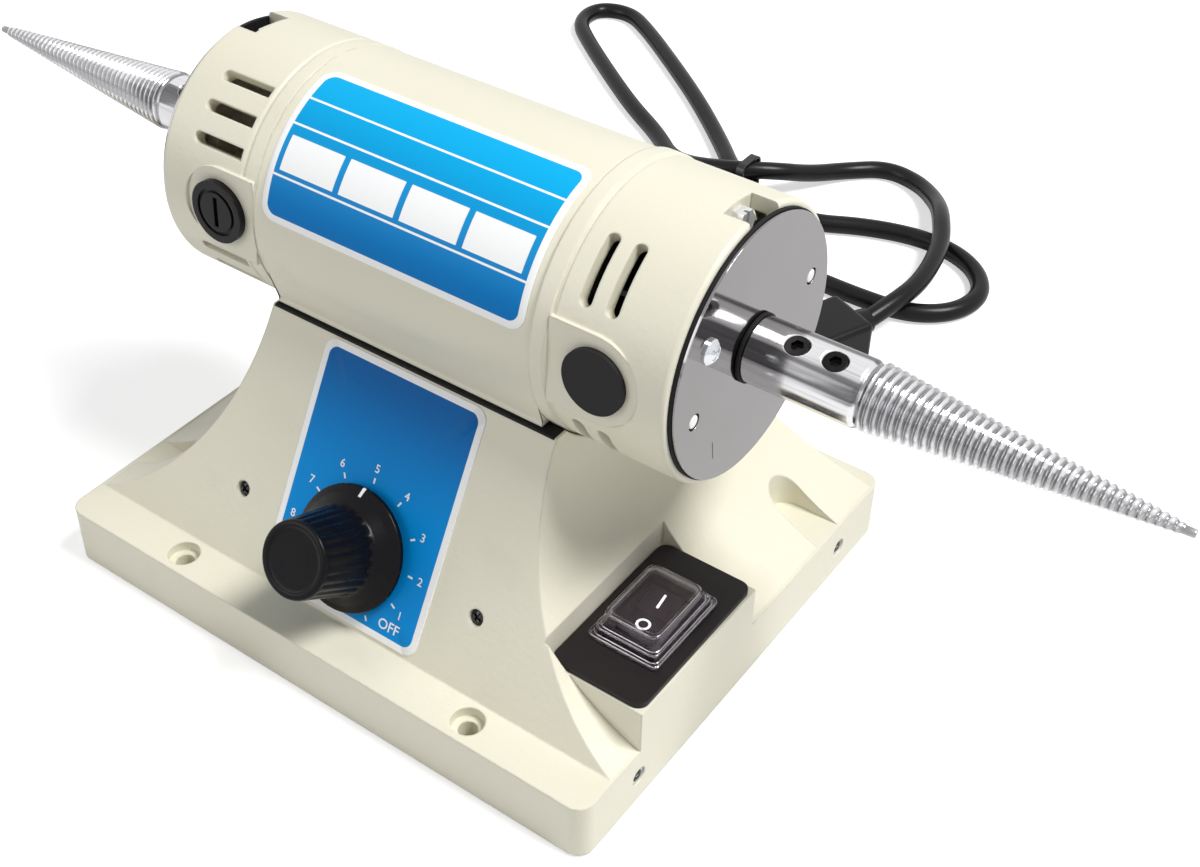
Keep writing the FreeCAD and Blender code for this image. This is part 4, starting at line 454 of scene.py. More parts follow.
# ---------------------------------------------------------------- panel plate
# A printed plate stuck on the sloping face: blue ink under a clear film, a white border, a ring
# of dial strokes and numbers round the speed control, and the word OFF where the travel starts.
face_foot = np.array([0.0, -0.0648, 0.0197])
face_up = np.array([0.0, 0.49227, 0.87045])
face_out = np.array([0.0, -0.87045, 0.49227])
face_right = np.array([1.0, 0.0, 0.0])
plate_width = 0.0564
plate_height = 0.0730
plate_low = 0.0012
plate_film = 0.00032
label_border = 0.0020
dial_rise = 0.0223
dial_count = 12
dial_part = 2 * math.pi / dial_count
stroke_start = 0.0190
stroke_end = 0.0207
number_ring = 0.0233


def rounded_outline(width, height, corner, steps=10, between=12):
    """The outline of a rounded rectangle about (0, 0), run once round and back to its start: a quarter
    turn of steps parts at each corner, and the straight after it in between parts."""
    turn = np.linspace(0, np.pi / 2, steps + 1)
    part = np.linspace(0, 1, between + 1)[1:-1, None]
    arcs = []
    for i, (sx, sy) in enumerate([(1, 1), (-1, 1), (-1, -1), (1, -1)]):
        a = turn + i * np.pi / 2
        arcs.append(np.stack([sx * (width / 2 - corner) + corner * np.cos(a),
                              sy * (height / 2 - corner) + corner * np.sin(a)], -1))
    line = []
    for arc, following in zip(arcs, arcs[1:] + arcs[:1]):
        line += [arc, arc[-1] + part * (following[0] - arc[-1])]
    return np.concatenate(line + [arcs[0][:1]])


def sheet_grid(outline, rings):
    """Points of a flat sheet: the outline drawn in towards the middle, ring share by ring share."""
    return rings[:, None, None] * outline[None]


def printed(name, width, height):
    """The blue printed film's finish with its place across (u) and up (v) the sheet, in metres."""
    made = Finish(name, Specular_IOR_Level=0.10)
    place = made.node("ShaderNodeUVMap", {"uv_map": "face"}, {})
    across = (made.part(place, "X") - 0.5) * width
    up = (made.part(place, "Y") - 0.5) * height
    return made, across, up


def frame_mask(made, across, up, width, height, corner, soft=0.00008):
    """1 inside a rounded rectangle, which is what lies within a corner's radius of the rectangle
    between the corners' centres."""
    dx = made.maths("MAXIMUM", abs(across) - (width / 2 - corner), 0.0)
    dy = made.maths("MAXIMUM", abs(up) - (height / 2 - corner), 0.0)
    far = made.maths("SQRT", dx * dx + dy * dy)
    return 1.0 - made.step(far, corner - soft, corner + soft)


plate_print, across, up = printed("panel_print", plate_width, plate_height)
field = frame_mask(plate_print, across, up, plate_width - 2 * label_border, plate_height - 2 * label_border,
                   corner=0.0028)
dial_up = up + (plate_low + plate_height / 2 - dial_rise)
dial_far = plate_print.maths("SQRT", across * across + dial_up * dial_up)
dial_turn = plate_print.maths("ARCTAN2", across, dial_up) * (1 / dial_part) + dial_count
stroke_off = abs(plate_print.maths("FRACT", dial_turn + 0.5) - 0.5) * dial_part * dial_far
strokes = 1.0 - plate_print.step(stroke_off, 0.00022, 0.00034)
strokes = strokes * plate_print.step(dial_far, stroke_start, stroke_start + 0.0001)
strokes = strokes * (1.0 - plate_print.step(dial_far, stroke_end - 0.0001, stroke_end))
strokes = strokes * plate_print.step(dial_up, -0.0180, -0.0176)
speck = plate_print.noise(plate_print.place(), 900.0)
# The blue runs darker towards the top of the plate.
fade = plate_print.step(up, -0.004, 0.036)
blue = plate_print.tint(fade, ink(4, 142, 220), ink(6, 96, 168))
blue = plate_print.tint(speck * 0.15, blue, ink(10, 136, 214))
white = ink(250, 251, 251)
plate_white = plate_print.maths("MAXIMUM", 1.0 - field, strokes)
plate_print.feed("Base Color", plate_print.tint(plate_white, blue, white))
plate_print.feed("Roughness", 0.30 + 0.12 * speck)
plate_print.relief(speck, 0.000006)
rings = np.concatenate([np.linspace(0, 0.998, 4), [1.0, 1.0]])
flat = sheet_grid(rounded_outline(plate_width, plate_height, corner=0.004), rings)
lift = np.array([plate_film] * 4 + [0.00026, 0.0])[:, None, None]
plate_middle = face_foot + face_up * (plate_low + plate_height / 2)
plate_points = plate_middle + flat[..., :1] * face_right + flat[..., 1:] * face_up + lift * face_out
plate_uv = flat / np.array([plate_width, plate_height]) + 0.5
panel_plate = skin("panel_plate", [plate_points], plate_print, "lathe", plate_uv)
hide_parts("panel_label")


def lettering(name, words, size, spot, right, upward, out, finish, body):
    """Flat printed characters, centred on a spot of a surface, made a mesh and set in place."""
    curve = bpy.data.curves.new(name, "FONT")
    curve.body = words
    curve.size = size
    curve.align_x = "CENTER"
    curve.align_y = "CENTER"
    curve.offset = size * 0.012
    curve.resolution_u = 3
    draft = bpy.data.objects.new(name + "_draft", curve)
    mesh = bpy.data.meshes.new_from_object(draft)
    mesh.name = name
    mesh.transform(stance(right, upward, out, spot))
    mesh.materials.clear()
    mesh.materials.append(finish.material)
    bpy.data.objects.remove(draft)
    bpy.data.curves.remove(curve)
    piece = bpy.data.objects.new(name, mesh)
    bpy.context.scene.collection.objects.link(piece)
    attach(piece, body)
    return piece


white_ink = Finish("white_ink", Roughness=0.45)
white_speck = white_ink.noise(white_ink.place(), 1200.0)
white_ink.feed("Base Color", white_ink.tint(white_speck, ink(226, 229, 231), ink(246, 248, 249)))
ink_out = plate_film + 0.00004
number_size = 0.0034
for number in range(1, 10):
    angle = math.radians(150) - dial_part * number
    spot = face_foot + face_up * dial_rise + face_out * ink_out
    spot += number_ring * (math.sin(angle) * face_right + math.cos(angle) * face_up)
    lettering("dial_%d" % number, str(number), number_size, spot, face_right, face_up, face_out, white_ink,
              "lathe")
off_size = 0.0042
off_rise = 0.0062
off_x = 0.0178
off_spot = face_foot + face_up * off_rise + face_out * ink_out + face_right * off_x
lettering("dial_off", "OFF", off_size, off_spot, face_right, face_up, face_out, white_ink, "lathe")

face_screw_x = 0.0427
face_screw_rise = 0.0211
screw_core = 0.0015
face_heads = []
for x in (-face_screw_x, face_screw_x):
    spot = face_foot + face_up * face_screw_rise + face_right * x
    face_heads.append(cross_head(spot, face_out, face_right, radius=0.0023, foot=-0.0028, rim=-0.0014,
                                 crown=-0.0006, turned_by=0.5))
    face_shank = [(-0.0120, 0.0), (-0.0120, screw_core), (-0.0027, screw_core)]
    face_heads.append(turned(face_shank, spot, face_out, face_right, steps=24))
screw_black = moulded("screw_black", ink(12, 12, 13), ink(34, 33, 34), 0.16, depth=0.000006, edge=0.0002)
face_screws = skin("panel_screws", face_heads, screw_black, "lathe")
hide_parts("face_screws")

# ---------------------------------------------------------------- speed knob
# A skirted phenolic knob, moulded black and buffed: a thin disc, a short cone and a tapering
# grip with fine flutes, pressed on the control's shaft and locked with a set screw.
knob_low = 0.0022
knob_bore = 0.0104
knob_skirt = 0.0180
knob_grip = 0.0124
knob_end = 0.0110
knob_reach = 0.03
knob_flutes = 24
flute_depth = 0.040
knob_profile = np.concatenate([
    [(0.0038, 0.0), (0.0038, knob_bore), (0.0, knob_bore)],
    eased([(0.0, knob_bore), (0.0, knob_skirt), (0.0016, knob_skirt), (0.0030, 0.0158), (0.0058, 0.0128),
           (0.0070, knob_grip)], 0.0005, 5),
    np.stack([np.linspace(0.0075, 0.0226, 22), np.linspace(knob_grip, knob_end, 22)], -1),
    eased([(0.0230, knob_end), (0.0244, 0.0107), (0.0246, 0.0092), (0.0241, 0.0084), (0.0240, 0.0)], 0.0008,
          5),
])
high = knob_profile[:, 0]
fluted = np.clip((high - 0.0060) / 0.0016, 0, 1) * np.clip((0.0238 - high) / 0.0012, 0, 1)
turn = np.linspace(0, 2 * np.pi, knob_flutes * 10 + 1)
groove = (0.5 + 0.5 * np.cos(turn * knob_flutes)) ** 2
shrink = 1 - flute_depth * fluted[:, None] * groove[None]
knob_points = turned(knob_profile, knob_low * face_out, face_out, face_up, knob_flutes * 10)
axial = (knob_points @ face_out)[..., None] * face_out
knob_points = axial + (knob_points - axial) * shrink[..., None] + face_foot + face_up * dial_rise
knob_uv = np.stack(np.broadcast_arrays(turn[None] / (2 * np.pi), (high / knob_reach)[:, None]), -1)
phenolic = Finish("black_phenolic", Specular_IOR_Level=0.12, Coat_Roughness=0.1, Coat_IOR=1.3)
knob_place = phenolic.node("ShaderNodeUVMap", {"uv_map": "face"}, {})
knob_u = phenolic.part(knob_place, "X")
knob_v = phenolic.part(knob_place, "Y") * knob_reach
mark = 1.0 - phenolic.step(abs(abs(knob_u - 0.5) - 0.5), 0.0042, 0.0052)
mark = mark * (1.0 - phenolic.step(knob_v, 0.0030, 0.0032)) * phenolic.step(knob_v, 0.0012, 0.0014)
knob_clouds = phenolic.noise(phenolic.place(), 90.0, 4.0)
knob_edge_wear_and_highlight = phenolic.edges(0.0004)
# The knob's edges are painted lighter: partly wear, partly painted highlight.
knob_black = phenolic.tint(knob_clouds * 0.6 + knob_edge_wear_and_highlight * 0.4, ink(7, 6, 9), ink(20, 18, 22))
phenolic.feed("Base Color", phenolic.tint(mark, knob_black, ink(235, 236, 236)))
phenolic.feed("Roughness", 0.20 + 0.16 * knob_clouds - 0.06 * knob_edge_wear_and_highlight)
phenolic.feed("Coat Weight", 0.02 + 0.06 * knob_clouds)
phenolic.relief(phenolic.noise(phenolic.place(), 1100.0, 2.0), 0.000012)
speed_knob = skin("knob", [knob_points], phenolic, "knob", knob_uv, 50.0)
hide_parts("speed_knob")

# ---------------------------------------------------------------- switch
# A rocker switch snapped into a dark pressed plate that closes the casting's raised box. The
# rocker is glossy black with a white stroke and ring, under a clear splash cover.
plate_black = moulded("switch_plate_black", ink(18, 14, 15), ink(31, 26, 28), 0.42, grain=1400.0,
                      depth=0.00003, edge=0.0005, Specular_IOR_Level=0.25)
switch_black = moulded("switch_black", ink(20, 13, 19), ink(34, 26, 34), 0.28, grain=1000.0, depth=0.000003,
                       Specular_IOR_Level=0.3)
finish_nodes(plate_black, "switch_plate")
finish_nodes(switch_black, "switch_body", "switch_rocker")
finish_nodes(metal("terminal_brass", ink(150, 120, 60), ink(206, 176, 104), 0.26), "switch_terminals")
switch_x = 0.07965
switch_y = -0.025
rocker_pivot = np.array([switch_x, switch_y, 0.0325])
rocker_tip = math.radians(9.0)
rocker_y = np.array([0.0, math.cos(rocker_tip), math.sin(rocker_tip)])
rocker_z = np.array([0.0, -math.sin(rocker_tip), math.cos(rocker_tip)])
paddle_half = 0.0083
paddle_rise = 0.0014
paddle_top = 0.0054
mark_off = 0.0043
mark_out = 0.00006
paddle_lean = math.atan2(paddle_rise, paddle_half)
for sign, name, words, size in ((1, "rocker_on", "I", 0.0062), (-1, "rocker_off", "O", 0.0056)):
    run = rocker_y * math.cos(paddle_lean) + sign * rocker_z * math.sin(paddle_lean)
    out = np.cross((1.0, 0.0, 0.0), run)
    mark_high = paddle_top + paddle_rise * 0.52
    spot = rocker_pivot + rocker_z * mark_high + sign * rocker_y * mark_off + out * mark_out
    lettering(name, words, size, spot, (1.0, 0.0, 0.0), run, out, white_ink, "rocker")
clear = Finish("clear_cover", Transmission_Weight=1.0, IOR=1.06, Coat_Roughness=0.03, Coat_IOR=1.45)
clear_clouds = clear.noise(clear.place(), 120.0)
clear.feed("Base Color", clear.tint(clear_clouds, ink(240, 236, 243), ink(252, 250, 253)))
clear.feed("Roughness", 0.01 + 0.03 * clear_clouds)
# The cover's edges are made mirror-like, so they show as bright lines: painted highlight.
clear_edge_highlight = clear.edges(0.0003)
clear.feed("Metallic", 0.8 * clear_edge_highlight)
clear.feed("Coat Weight", 0.45 + 0.20 * clear_clouds)
clear.relief(clear.noise(clear.place(), 260.0), depth=0.000004, width=0.0003)
cap_foot = np.array([switch_x, switch_y, 0.0353])
cap_steps = [(0.0, 0.0224, 0.0310, 0.0020), (0.0013, 0.0224, 0.0310, 0.0020),
             (0.0016, 0.0220, 0.0306, 0.0020), (0.0016, 0.0204, 0.0286, 0.0022),
             (0.0034, 0.0200, 0.0280, 0.0023), (0.0037, 0.0196, 0.0274, 0.0023),
             (0.0037, 0.0184, 0.0256, 0.0024), (0.0073, 0.0172, 0.0236, 0.0026),
             (0.0077, 0.0166, 0.0228, 0.0026), (0.0078, 0.0154, 0.0212, 0.0024),
             (0.0075, 0.0148, 0.0204, 0.0022), (0.0075, 0.0080, 0.0100, 0.0020), (0.0075, 0.0, 0.0, 0.0)]
cap_points = cap_foot + np.array([np.insert(rounded_outline(width, depth, corner, between=2), 2, rise, 1)
                                  for rise, width, depth, corner in cap_steps])
splash_cover = skin("splash_cover", [cap_points], clear, "lathe", sharp=25.0)
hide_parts("switch_cap")
wall = splash_cover.modifiers.new("wall", "SOLIDIFY")
wall.thickness = 0.0008
wall.offset = -1.0
splash_cover.visible_shadow = False

# ---------------------------------------------------------------- motor label
# A printed foil wrapped on the shell: bands of blue between white rules, four blank rating boxes
# and a white border with rounded corners.
foil_radius = shell_radius + 0.00003
foil_film = 0.00032
foil_left = -0.0462
foil_right = 0.0419
foil_low = math.radians(10.5)
foil_high = math.radians(80.5)
foil_x = (foil_left + foil_right) / 2
foil_turn = (foil_low + foil_high) / 2
foil_width = foil_right - foil_left
foil_height = (foil_high - foil_low) * foil_radius
foil_print, across, up = printed("motor_print", foil_width, foil_height)


def rule(made, up, degrees, half):
    """1 on a line round the shell at an angle of the motor, half a width each side."""
    middle = (math.radians(degrees) - foil_turn) * foil_radius
    return 1.0 - made.step(abs(up - middle), half - 0.00008, half + 0.00008)


field = frame_mask(foil_print, across, up, foil_width - 2 * label_border, foil_height - 2 * label_border,
                   corner=0.0030)
lines = 1.0 - field
for degrees in (63.8, 51.7, 30.0):
    lines = foil_print.maths("MAXIMUM", lines, rule(foil_print, up, degrees, 0.00030))
box_width = 0.0186
box_height = 0.0098
box_pitch = 0.0206
first_box_x = -0.0332
box_up = (math.radians(39.6) - foil_turn) * foil_radius
for i in range(4):
    box_middle = first_box_x + box_pitch * i - foil_x
    box = frame_mask(foil_print, across - box_middle, up - box_up, box_width, box_height, corner=0.0002)
    lines = foil_print.maths("MAXIMUM", lines, box)
speck = foil_print.noise(foil_print.place(), 800.0)
# The blue is painted lighter towards the top of the shell, standing in for glare there: painted highlight.
fade = foil_print.step(up, -0.024, 0.022)
blue = foil_print.tint(fade, ink(4, 116, 192), ink(14, 174, 230))
blue = foil_print.tint(speck * 0.15, blue, ink(24, 140, 206))
foil_print.feed("Base Color", foil_print.tint(lines, blue, white))
foil_print.feed("Roughness", 0.28 + 0.12 * speck)
foil_print.relief(speck, 0.000006)
foil_rings = 34
rings = np.concatenate([np.linspace(0, 0.997, foil_rings), [1.0, 1.0]])
flat = sheet_grid(rounded_outline(foil_width, foil_height, corner=0.0045, between=30), rings)
far = foil_radius + np.array([foil_film] * foil_rings + [0.00026, 0.00002])[:, None]
turn = foil_turn + flat[..., 1] / foil_radius
foil_points = np.stack([flat[..., 0] + foil_x, motor_y - far * np.cos(turn),
                        motor_z + far * np.sin(turn)], -1)
foil_uv = flat / np.array([foil_width, foil_height]) + 0.5
foil = skin("motor_foil", [foil_points], foil_print, "lathe", foil_uv)
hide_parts("motor_label")

# ---------------------------------------------------------------- end plates and brush caps
# Bright steel discs, lapped flat, close the housings over rubber gaskets; each has two domed screws and two
# flush rivets, whose near-white tin also stands in for light seen in the sight holes: partly rivet, partly
# painted light. Black phenolic caps screw in over the brushes, and plain plugs close the openings that stay
# unused.
end_steel = Finish("end_plate_steel", Metallic=1.0)
end_point = end_steel.place(spot=(0.0, motor_y, motor_z))
end_y = end_steel.part(end_point, "Y")
end_z = end_steel.part(end_point, "Z")
end_far = end_steel.maths("SQRT", end_y * end_y + end_z * end_z)
end_rings = end_steel.node("ShaderNodeTexNoise", {"noise_dimensions": "1D"},
                           {"W": end_far, "Scale": 2600.0, "Detail": 3.0})
end_clouds = end_steel.noise(end_point, 40.0, 4.0)
end_edge_wear_and_highlight = end_steel.edges(0.0004)
score_y = -0.0172
score_z = -0.0222
end_score = 1.0 - end_steel.step(abs(end_y - score_y + 0.13 * (end_z - score_z)), 0.00012, 0.00030)
end_score = end_score * (1.0 - end_steel.step(abs(end_z - score_z), 0.0028, 0.0031))
# The plate's edges are painted lighter: partly wear, partly painted highlight.
end_grey = end_steel.tint(end_clouds * 0.3 + end_edge_wear_and_highlight * 0.7, ink(137, 134, 134), ink(166, 164, 165))
end_steel.feed("Base Color", end_steel.tint(end_score, end_grey, ink(30, 28, 29)))
end_steel.feed("Roughness", 0.05 + 0.04 * end_clouds + 0.02 * end_rings)
end_steel.relief(end_rings, depth=0.0000004, width=0.0003)
finish_nodes(end_steel, "left_end_plate", "right_end_plate")
motor_middle = np.array([0.0, motor_y, motor_z])
end_face = 0.0859


def outward(angle):
    """The way out from the motor's axis at an angle above the user's side: (0, -cos, sin)."""
    return np.array([0.0, -math.cos(angle), math.sin(angle)])


plate_screw_ring = 0.0252
plate_screw_turn = math.radians(29.1)
plate_shank = [(-0.0090, 0.0), (-0.0090, screw_core), (0.0003, screw_core)]
rivet_ring = 0.0278
rivet_turn = math.radians(-13.0)
rivet_radius = 0.0019
rivet_foot = end_face - 0.0009
rivet_line = eased([(rivet_foot, 0.0), (rivet_foot, rivet_radius), (end_face - 0.0002, rivet_radius),
                    (end_face, 0.0014), (end_face + 0.00005, 0.0)], 0.0003)
plate_heads = []
rivets = []
for side in (-1, 1):
    axis = np.array([side, 0.0, 0.0])
    for half_turn in (0, math.pi):
        out = outward(plate_screw_turn + half_turn)
        spot = motor_middle + end_face * axis + plate_screw_ring * out
        plate_heads.append(cross_head(spot, axis, out, radius=0.0034, foot=0.0, rim=0.0007, crown=0.0025,
                                      turned_by=0.3))
        plate_heads.append(turned(plate_shank, spot, axis, out, steps=24))
        rivet_spot = motor_middle + rivet_ring * outward(rivet_turn + half_turn)
        rivets.append(turned(rivet_line, rivet_spot, axis, (0.0, 1.0, 0.0), steps=32))
chrome = metal("screw_chrome", ink(206, 210, 214), ink(246, 248, 250), 0.05, grain=400.0, depth=0.000004)
plate_screws = skin("end_plate_screws", plate_heads, chrome, "lathe")
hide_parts("plate_screws")
# The rivets' near-white tin stands in for light inside the sight holes as well: partly rivet, partly painted
# light.
rivet_tin_and_painted_light = moulded("rivet_tin_and_painted_light", ink(226, 227, 225), ink(250, 250, 249), 0.30, grain=700.0, depth=0.000008,
                    edge=0.0003)
skin("end_plate_rivets", rivets, rivet_tin_and_painted_light, "lathe")
cap_black = moulded("brush_cap_black", ink(9, 8, 9), ink(24, 22, 23), 0.28, grain=1200.0, depth=0.00001,
                    Specular_IOR_Level=0.2)
finish_nodes(cap_black, "brush_caps")
plug_black = moulded("plug_black", ink(26, 24, 25), ink(40, 37, 38), 0.50, grain=1500.0, depth=0.00003,
                     Specular_IOR_Level=0.2)
finish_nodes(plug_black, "blank_plugs")

# ---------------------------------------------------------------- taper spindles
# Each taper is turned from aluminium bar: a smooth shank bored for the shaft, then a long cone
# with a sharp rolled thread that polishing wheels screw themselves on to.
spindle_start = 0.087
spindle_radius = 0.009
thread_start = 0.1186
thread_end = 0.1966
spindle_tip = 0.1992
thread_pitch = 0.0021
thread_depth = 0.00115
depth_loss = 0.55
root_radius = 0.0083
end_radius = 0.0011
shank = eased([(spindle_start, 0.0), (spindle_start, spindle_radius), (thread_start - 0.0012, spindle_radius),
               (thread_start - 0.0004, root_radius)], 0.0005, 3)
sides = 72
turn = np.linspace(0, 2 * np.pi, sides + 1)
thread_rows = 520
along = np.linspace(thread_start, thread_end, thread_rows)[:, None]
share = (along - thread_start) / (thread_end - thread_start)
phase = (along - thread_start) / thread_pitch - turn[None] / (2 * np.pi)
ridge = 1 - 2 * np.abs(phase - np.floor(phase) - 0.5)
ridge = np.clip((ridge - 0.10) / 0.74, 0, 1)
fade = np.clip(share / 0.02, 0, 1) * np.clip((1 - share) / 0.02, 0, 1)
root = root_radius + (end_radius - root_radius) * share
thread_radius = root + thread_depth * (1 - depth_loss * share) * ridge * fade
tip = eased([(thread_end + 0.0001, end_radius), (spindle_tip, end_radius), (spindle_tip, 0.0)], 0.0004)
aluminium = Finish("turned_aluminium", Metallic=1.0)
spindle_place = aluminium.place(spot=(0.0, motor_y, motor_z))
spindle_y = aluminium.part(spindle_place, "Y")
spindle_z = aluminium.part(spindle_place, "Z")
spindle_far = aluminium.maths("SQRT", spindle_y * spindle_y + spindle_z * spindle_z)
run = (abs(aluminium.part(spindle_place, "X")) - thread_start) / (thread_end - thread_start)
# The thread's roots are painted a darker grey than its crests: painted shade in the grooves.
above_root = spindle_far - (root_radius - (root_radius - end_radius) * run)
crest_vs_painted_root_shade = above_root / (thread_depth - thread_depth * depth_loss * run)
crest_vs_painted_root_shade = aluminium.maths("MAXIMUM", aluminium.step(crest_vs_painted_root_shade, 0.05, 0.75), 1.0 - aluminium.step(run, -0.005, 0.0))
drawn = aluminium.noise(aluminium.place((0.03, 1.0, 1.0)), 420.0, 3.0)
# Round the axis the shank and the thread get light and dark folds at set turns, mixed with the drawn bar's
# lengthwise streaks: painted reflection.
lean = aluminium.maths("ARCTAN2", spindle_z, -spindle_y)
end_sign = aluminium.maths("SIGN", aluminium.part(spindle_place, "X"))
thread = aluminium.step(run, 0.0, 0.03)
shank_reflection_turn = math.radians(5.0) + math.radians(8.0) * end_sign
thread_reflection_turn = math.radians(77.0)
shank_painted_reflection = aluminium.maths("COSINE", (lean + shank_reflection_turn) * 4.0)
thread_painted_reflection = aluminium.maths("COSINE", (lean - thread_reflection_turn) * 3.0)
painted_reflection_folds = shank_painted_reflection + thread * (thread_painted_reflection - shank_painted_reflection)
fine_lines = aluminium.noise(aluminium.place((0.05, 1.0, 1.0)), 1500.0, 3.0)
tool_marks = aluminium.noise(aluminium.place((1.0, 0.06, 0.06)), 900.0, 3.0)
streaks_and_painted_reflection = aluminium.step(0.5 + 0.30 * painted_reflection_folds + 0.9 * (drawn - 0.5) + 0.1 * fine_lines, 0.38, 0.66)
# The taper's edges are painted lighter: partly wear, partly painted highlight.
edge_wear_and_highlight = aluminium.edges(0.0003)
shade = aluminium.tint(streaks_and_painted_reflection, ink(84, 82, 84), ink(244, 244, 246))
shade = aluminium.tint(fine_lines * 0.45, shade, ink(176, 176, 179))
# The thread is painted lighter, standing in for its brighter reflection: painted reflection.
shade = aluminium.tint(0.45 * thread, shade, ink(230, 230, 232))
shade = aluminium.tint(crest_vs_painted_root_shade, ink(156, 155, 158), shade)
aluminium.feed("Base Color", aluminium.tint(edge_wear_and_highlight * 0.5, shade, ink(246, 246, 247)))
aluminium.feed("Roughness", 0.09 + 0.08 * tool_marks + 0.06 * fine_lines)
aluminium.relief(tool_marks, depth=0.000004, width=0.0003)


def spindle_points(side):
    """The spindle about the motor's axis: x along it, and for each angle t the radius of the shank,
    the thread's spiral ridge, then the tip. side is 1 on the right and -1 on the left."""
    middle = np.stack([np.broadcast_to(along, thread_radius.shape), thread_radius], -1)
    ends = [np.repeat(line[:, None, :], sides + 1, axis=1) for line in (shank, tip)]
    both = np.concatenate([ends[0], middle, ends[1]])
    return np.stack([side * both[..., 0], motor_y - both[..., 1] * np.cos(turn),
                     motor_z + both[..., 1] * np.sin(turn)], -1)


def drilled(piece, holes):
    """Cuts turned holes out of a piece and keeps the result as its mesh."""
    cutter = skin(piece.name + "_holes", holes, aluminium, "rotor")
    cut = piece.modifiers.new("holes", "BOOLEAN")
    cut.object = cutter
    cut.solver = "EXACT"
    bpy.context.view_layer.update()
    made = bpy.data.meshes.new_from_object(piece.evaluated_get(bpy.context.evaluated_depsgraph_get()))
    piece.modifiers.clear()
    old = piece.data
    piece.data = made
    made.name = piece.name
    made.set_sharp_from_angle(angle=math.radians(38.0))
    bpy.data.objects.remove(cutter)
    bpy.data.meshes.remove(old)


set_screw_out = outward(math.radians(71.5))
set_screw_x = (0.0990, 0.1095)
hole_radius = 0.00303
hole = [(0.0048, 0.0), (0.0048, hole_radius), (0.0083, hole_radius), (0.0100, 0.0044), (0.0100, 0.0)]
for side, name in ((1, "right"), (-1, "left")):
    spindle = skin(name + "_taper", [spindle_points(side)], aluminium, "rotor",
                   sharp=40.0)
    drilled(spindle, [turned(hole, (side * x, motor_y, motor_z), set_screw_out, (1, 0, 0), 40)
                      for x in set_screw_x])
    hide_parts(name + "_spindle")

# ---------------------------------------------------------------- rotor
# The hardened shaft runs in two ball bearings; on it are the laminated armature with its
# varnished copper windings, the commutator, the moulded fan and, outside each end plate, a black
# rubber washer that spaces the spindle off it.
turned_round = (1.0, 0.1, 0.1)
shaft_steel = metal("shaft_steel", ink(150, 151, 154), ink(214, 215, 218), 0.16, stretch=turned_round)
bearing_steel = metal("bearing_steel", ink(160, 161, 163), ink(224, 225, 227), 0.10)
laminations = metal("laminations", ink(92, 92, 96), ink(140, 140, 144), 0.40, stretch=(60.0, 1.0, 1.0),
                    grain=60.0, depth=0.00004)
winding_copper = metal("winding_copper", ink(122, 58, 30), ink(190, 104, 58), 0.34, grain=900.0, depth=0.0001)
commutator_copper = metal("commutator_copper", ink(150, 84, 52), ink(206, 138, 96), 0.22,
                          stretch=turned_round)
finish_nodes(shaft_steel, "rotor_shaft", "potentiometer_shaft", "potentiometer_body")
finish_nodes(bearing_steel, "bearing_outer_rings", "bearing_inner_rings", "bearing_balls")
finish_nodes(laminations, "armature_core", "stator_core")
finish_nodes(winding_copper, "armature_windings", "field_coils")
finish_nodes(commutator_copper, "commutator")
finish_nodes(metal("holder_brass", ink(160, 128, 62), ink(214, 184, 108), 0.24), "brush_holders")
finish_nodes(metal("spring_steel", ink(120, 121, 124), ink(180, 181, 184), 0.22), "brush_springs")
finish_nodes(moulded("brush_carbon", ink(28, 28, 29), ink(52, 52, 54), 0.48), "carbon_brushes")
finish_nodes(moulded("fan_plastic", ink(30, 31, 33), ink(52, 53, 56), 0.46), "cooling_fan")
spacer_start = end_face + 0.0001
spacer_end = spindle_start - 0.00002
spacer_bore = 0.0060
spacer_radius = 0.0095
spacer_line = eased([(spacer_start, spacer_bore), (spacer_start, spacer_radius), (spacer_end, spacer_radius),
                     (spacer_end, spacer_bore)], 0.0002)
spacer_line = np.vstack([spacer_line, spacer_line[:1]])
spacers = [turned(spacer_line, motor_middle, (side, 0.0, 0.0), (0.0, 1.0, 0.0)) for side in (-1, 1)]
spacer_rings = skin("spacer_rings", spacers, foot_rubber, "rotor")
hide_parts("shaft_washers")

# ---------------------------------------------------------------- speed board
# A glass-fibre board in the base carries the speed control: capacitors, choke, bridge and
# terminal block, with a finned extrusion for the power device, all on nylon posts.
finish_nodes(moulded("board_green", ink(16, 70, 44), ink(28, 98, 62), 0.36, grain=400.0), "speed_board")
finish_nodes(moulded("component_plastic", ink(30, 34, 52), ink(60, 66, 92), 0.40), "board_components")
finish_nodes(moulded("post_nylon", ink(206, 204, 196), ink(226, 224, 216), 0.45), "board_standoffs")
sink_aluminium = metal("heat_sink_aluminium", ink(150, 151, 153), ink(200, 201, 203), 0.30,
                       stretch=(1.0, 1.0, 0.05))
finish_nodes(sink_aluminium, "heat_sink")

# ---------------------------------------------------------------- bench and light
# A white bench under soft studio light: one broad lamp above on the right, a weaker one from the
# front, and an even sky, which metal and clear plastic mirror as white. The bench glows more with
# the distance, so that it meets the sky without a line and still takes the shadow.
bench_half = 6.0
bench_corners = [(x * bench_half, y * bench_half, 0) for x, y in ((-1, -1), (1, -1), (1, 1), (-1, 1))]
bench_mesh = bpy.data.meshes.new("bench")
bench_mesh.from_pydata(bench_corners, [], [(0, 1, 2, 3)])
bench_top = bpy.data.objects.new("bench", bench_mesh)
bench_paint = Finish("bench_white", Roughness=0.9)
bench_paint.shader.inputs["Base Color"].default_value = (0.80, 0.80, 0.80, 1.0)
mirrored = 0.32
seen = bench_paint.node("ShaderNodeLightPath", {}, {}, "Is Camera Ray")
seen = seen + mirrored * bench_paint.node("ShaderNodeLightPath", {}, {}, "Is Glossy Ray")
seen = seen + mirrored * bench_paint.node("ShaderNodeLightPath", {}, {}, "Is Transmission Ray")
bench_place = bench_paint.place()
bench_x = bench_paint.part(bench_place, "X")
bench_y = bench_paint.part(bench_place, "Y")
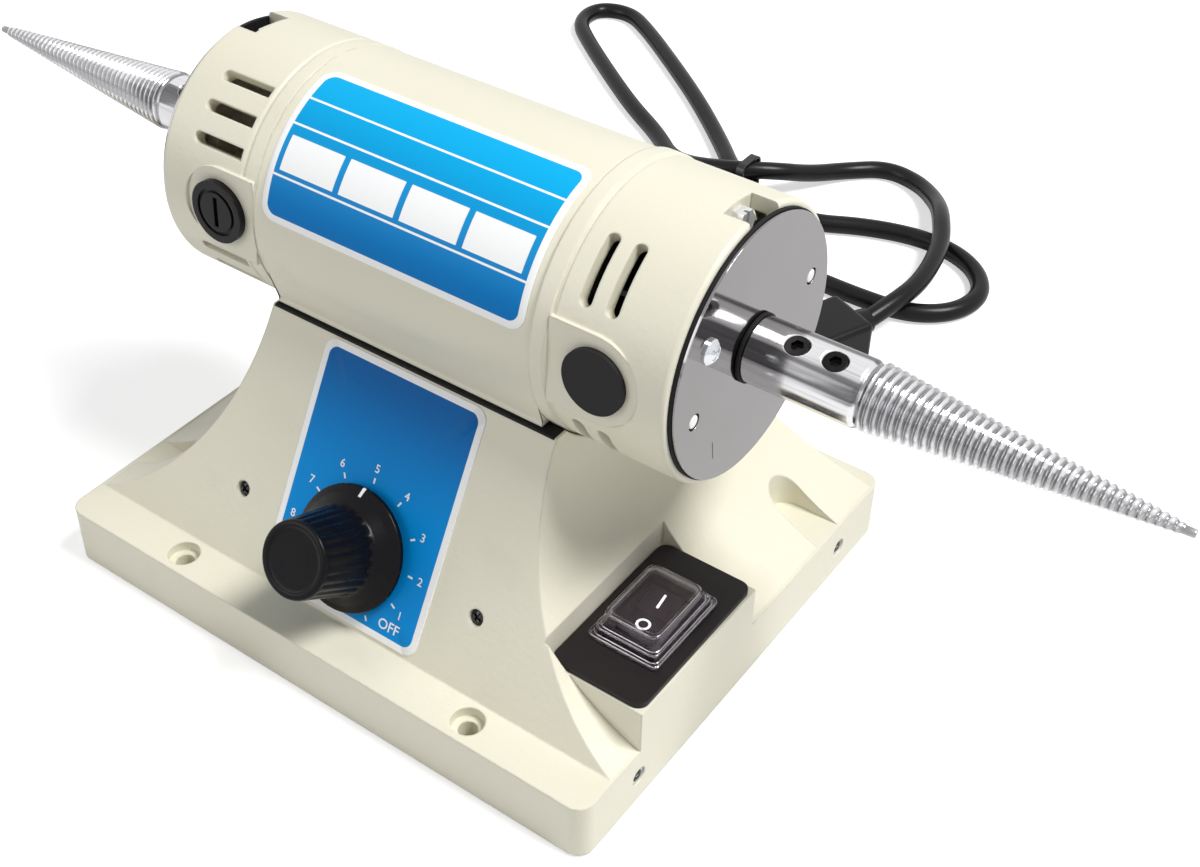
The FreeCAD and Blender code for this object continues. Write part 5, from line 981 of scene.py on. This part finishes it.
away = bench_paint.maths("SQRT", bench_x * bench_x + bench_y * bench_y)
glow = 0.56 + 0.34 * bench_paint.step(away, 0.2, 1.1)
black_light = (0.0, 0.0, 0.0, 1.0)
white_light = (1.0, 1.0, 1.0, 1.0)
bench_paint.feed("Emission Color", bench_paint.tint(seen * glow, black_light, white_light))
bench_paint.shader.inputs["Emission Strength"].default_value = 1.0
bench_mesh.materials.append(bench_paint.material)
bpy.context.scene.collection.objects.link(bench_top)

sky = bpy.data.worlds.new("sky")
sky.use_nodes = True
sky_tree = sky.node_tree
sky_light = sky_tree.nodes["Background"]
sky_light.inputs["Strength"].default_value = 1.0
sky_ray = sky_tree.nodes.new("ShaderNodeLightPath")
sky_tint = sky_tree.nodes.new("ShaderNodeMix")
sky_tint.data_type = "RGBA"
sky_tint.inputs[6].default_value = (0.20, 0.20, 0.205, 1.0)
sky_tint.inputs[7].default_value = white_light
seen = sky_ray.outputs["Is Camera Ray"]
for kind in ("Is Glossy Ray", "Is Transmission Ray"):
    either = sky_tree.nodes.new("ShaderNodeMath")
    sky_tree.links.new(seen, either.inputs[0])
    sky_tree.links.new(sky_ray.outputs[kind], either.inputs[1])
    seen = either.outputs[0]
sky_tree.links.new(seen, sky_tint.inputs[0])
sky_tree.links.new(sky_tint.outputs[2], sky_light.inputs["Color"])
bpy.context.scene.world = sky


def lamp(name, spot, aim, size, power):
    """A square soft box at a spot, turned to face what it lights."""
    light = bpy.data.lights.new(name, "AREA")
    light.size = size
    light.energy = power
    box = bpy.data.objects.new(name, light)
    box.location = spot
    box.rotation_mode = "QUATERNION"
    box.rotation_quaternion = (Vector(aim) - Vector(spot)).to_track_quat("-Z", "Y")
    bpy.context.scene.collection.objects.link(box)


lathe_middle = (0.0, 0.0, 0.08)
lamp("key", (0.72, 0.20, 1.34), lathe_middle, size=0.5, power=23.0)
lamp("front", (-0.8, -1.2, 0.8), lathe_middle, size=1.0, power=6.6)

bpy.context.scene.view_settings.view_transform = "Standard"
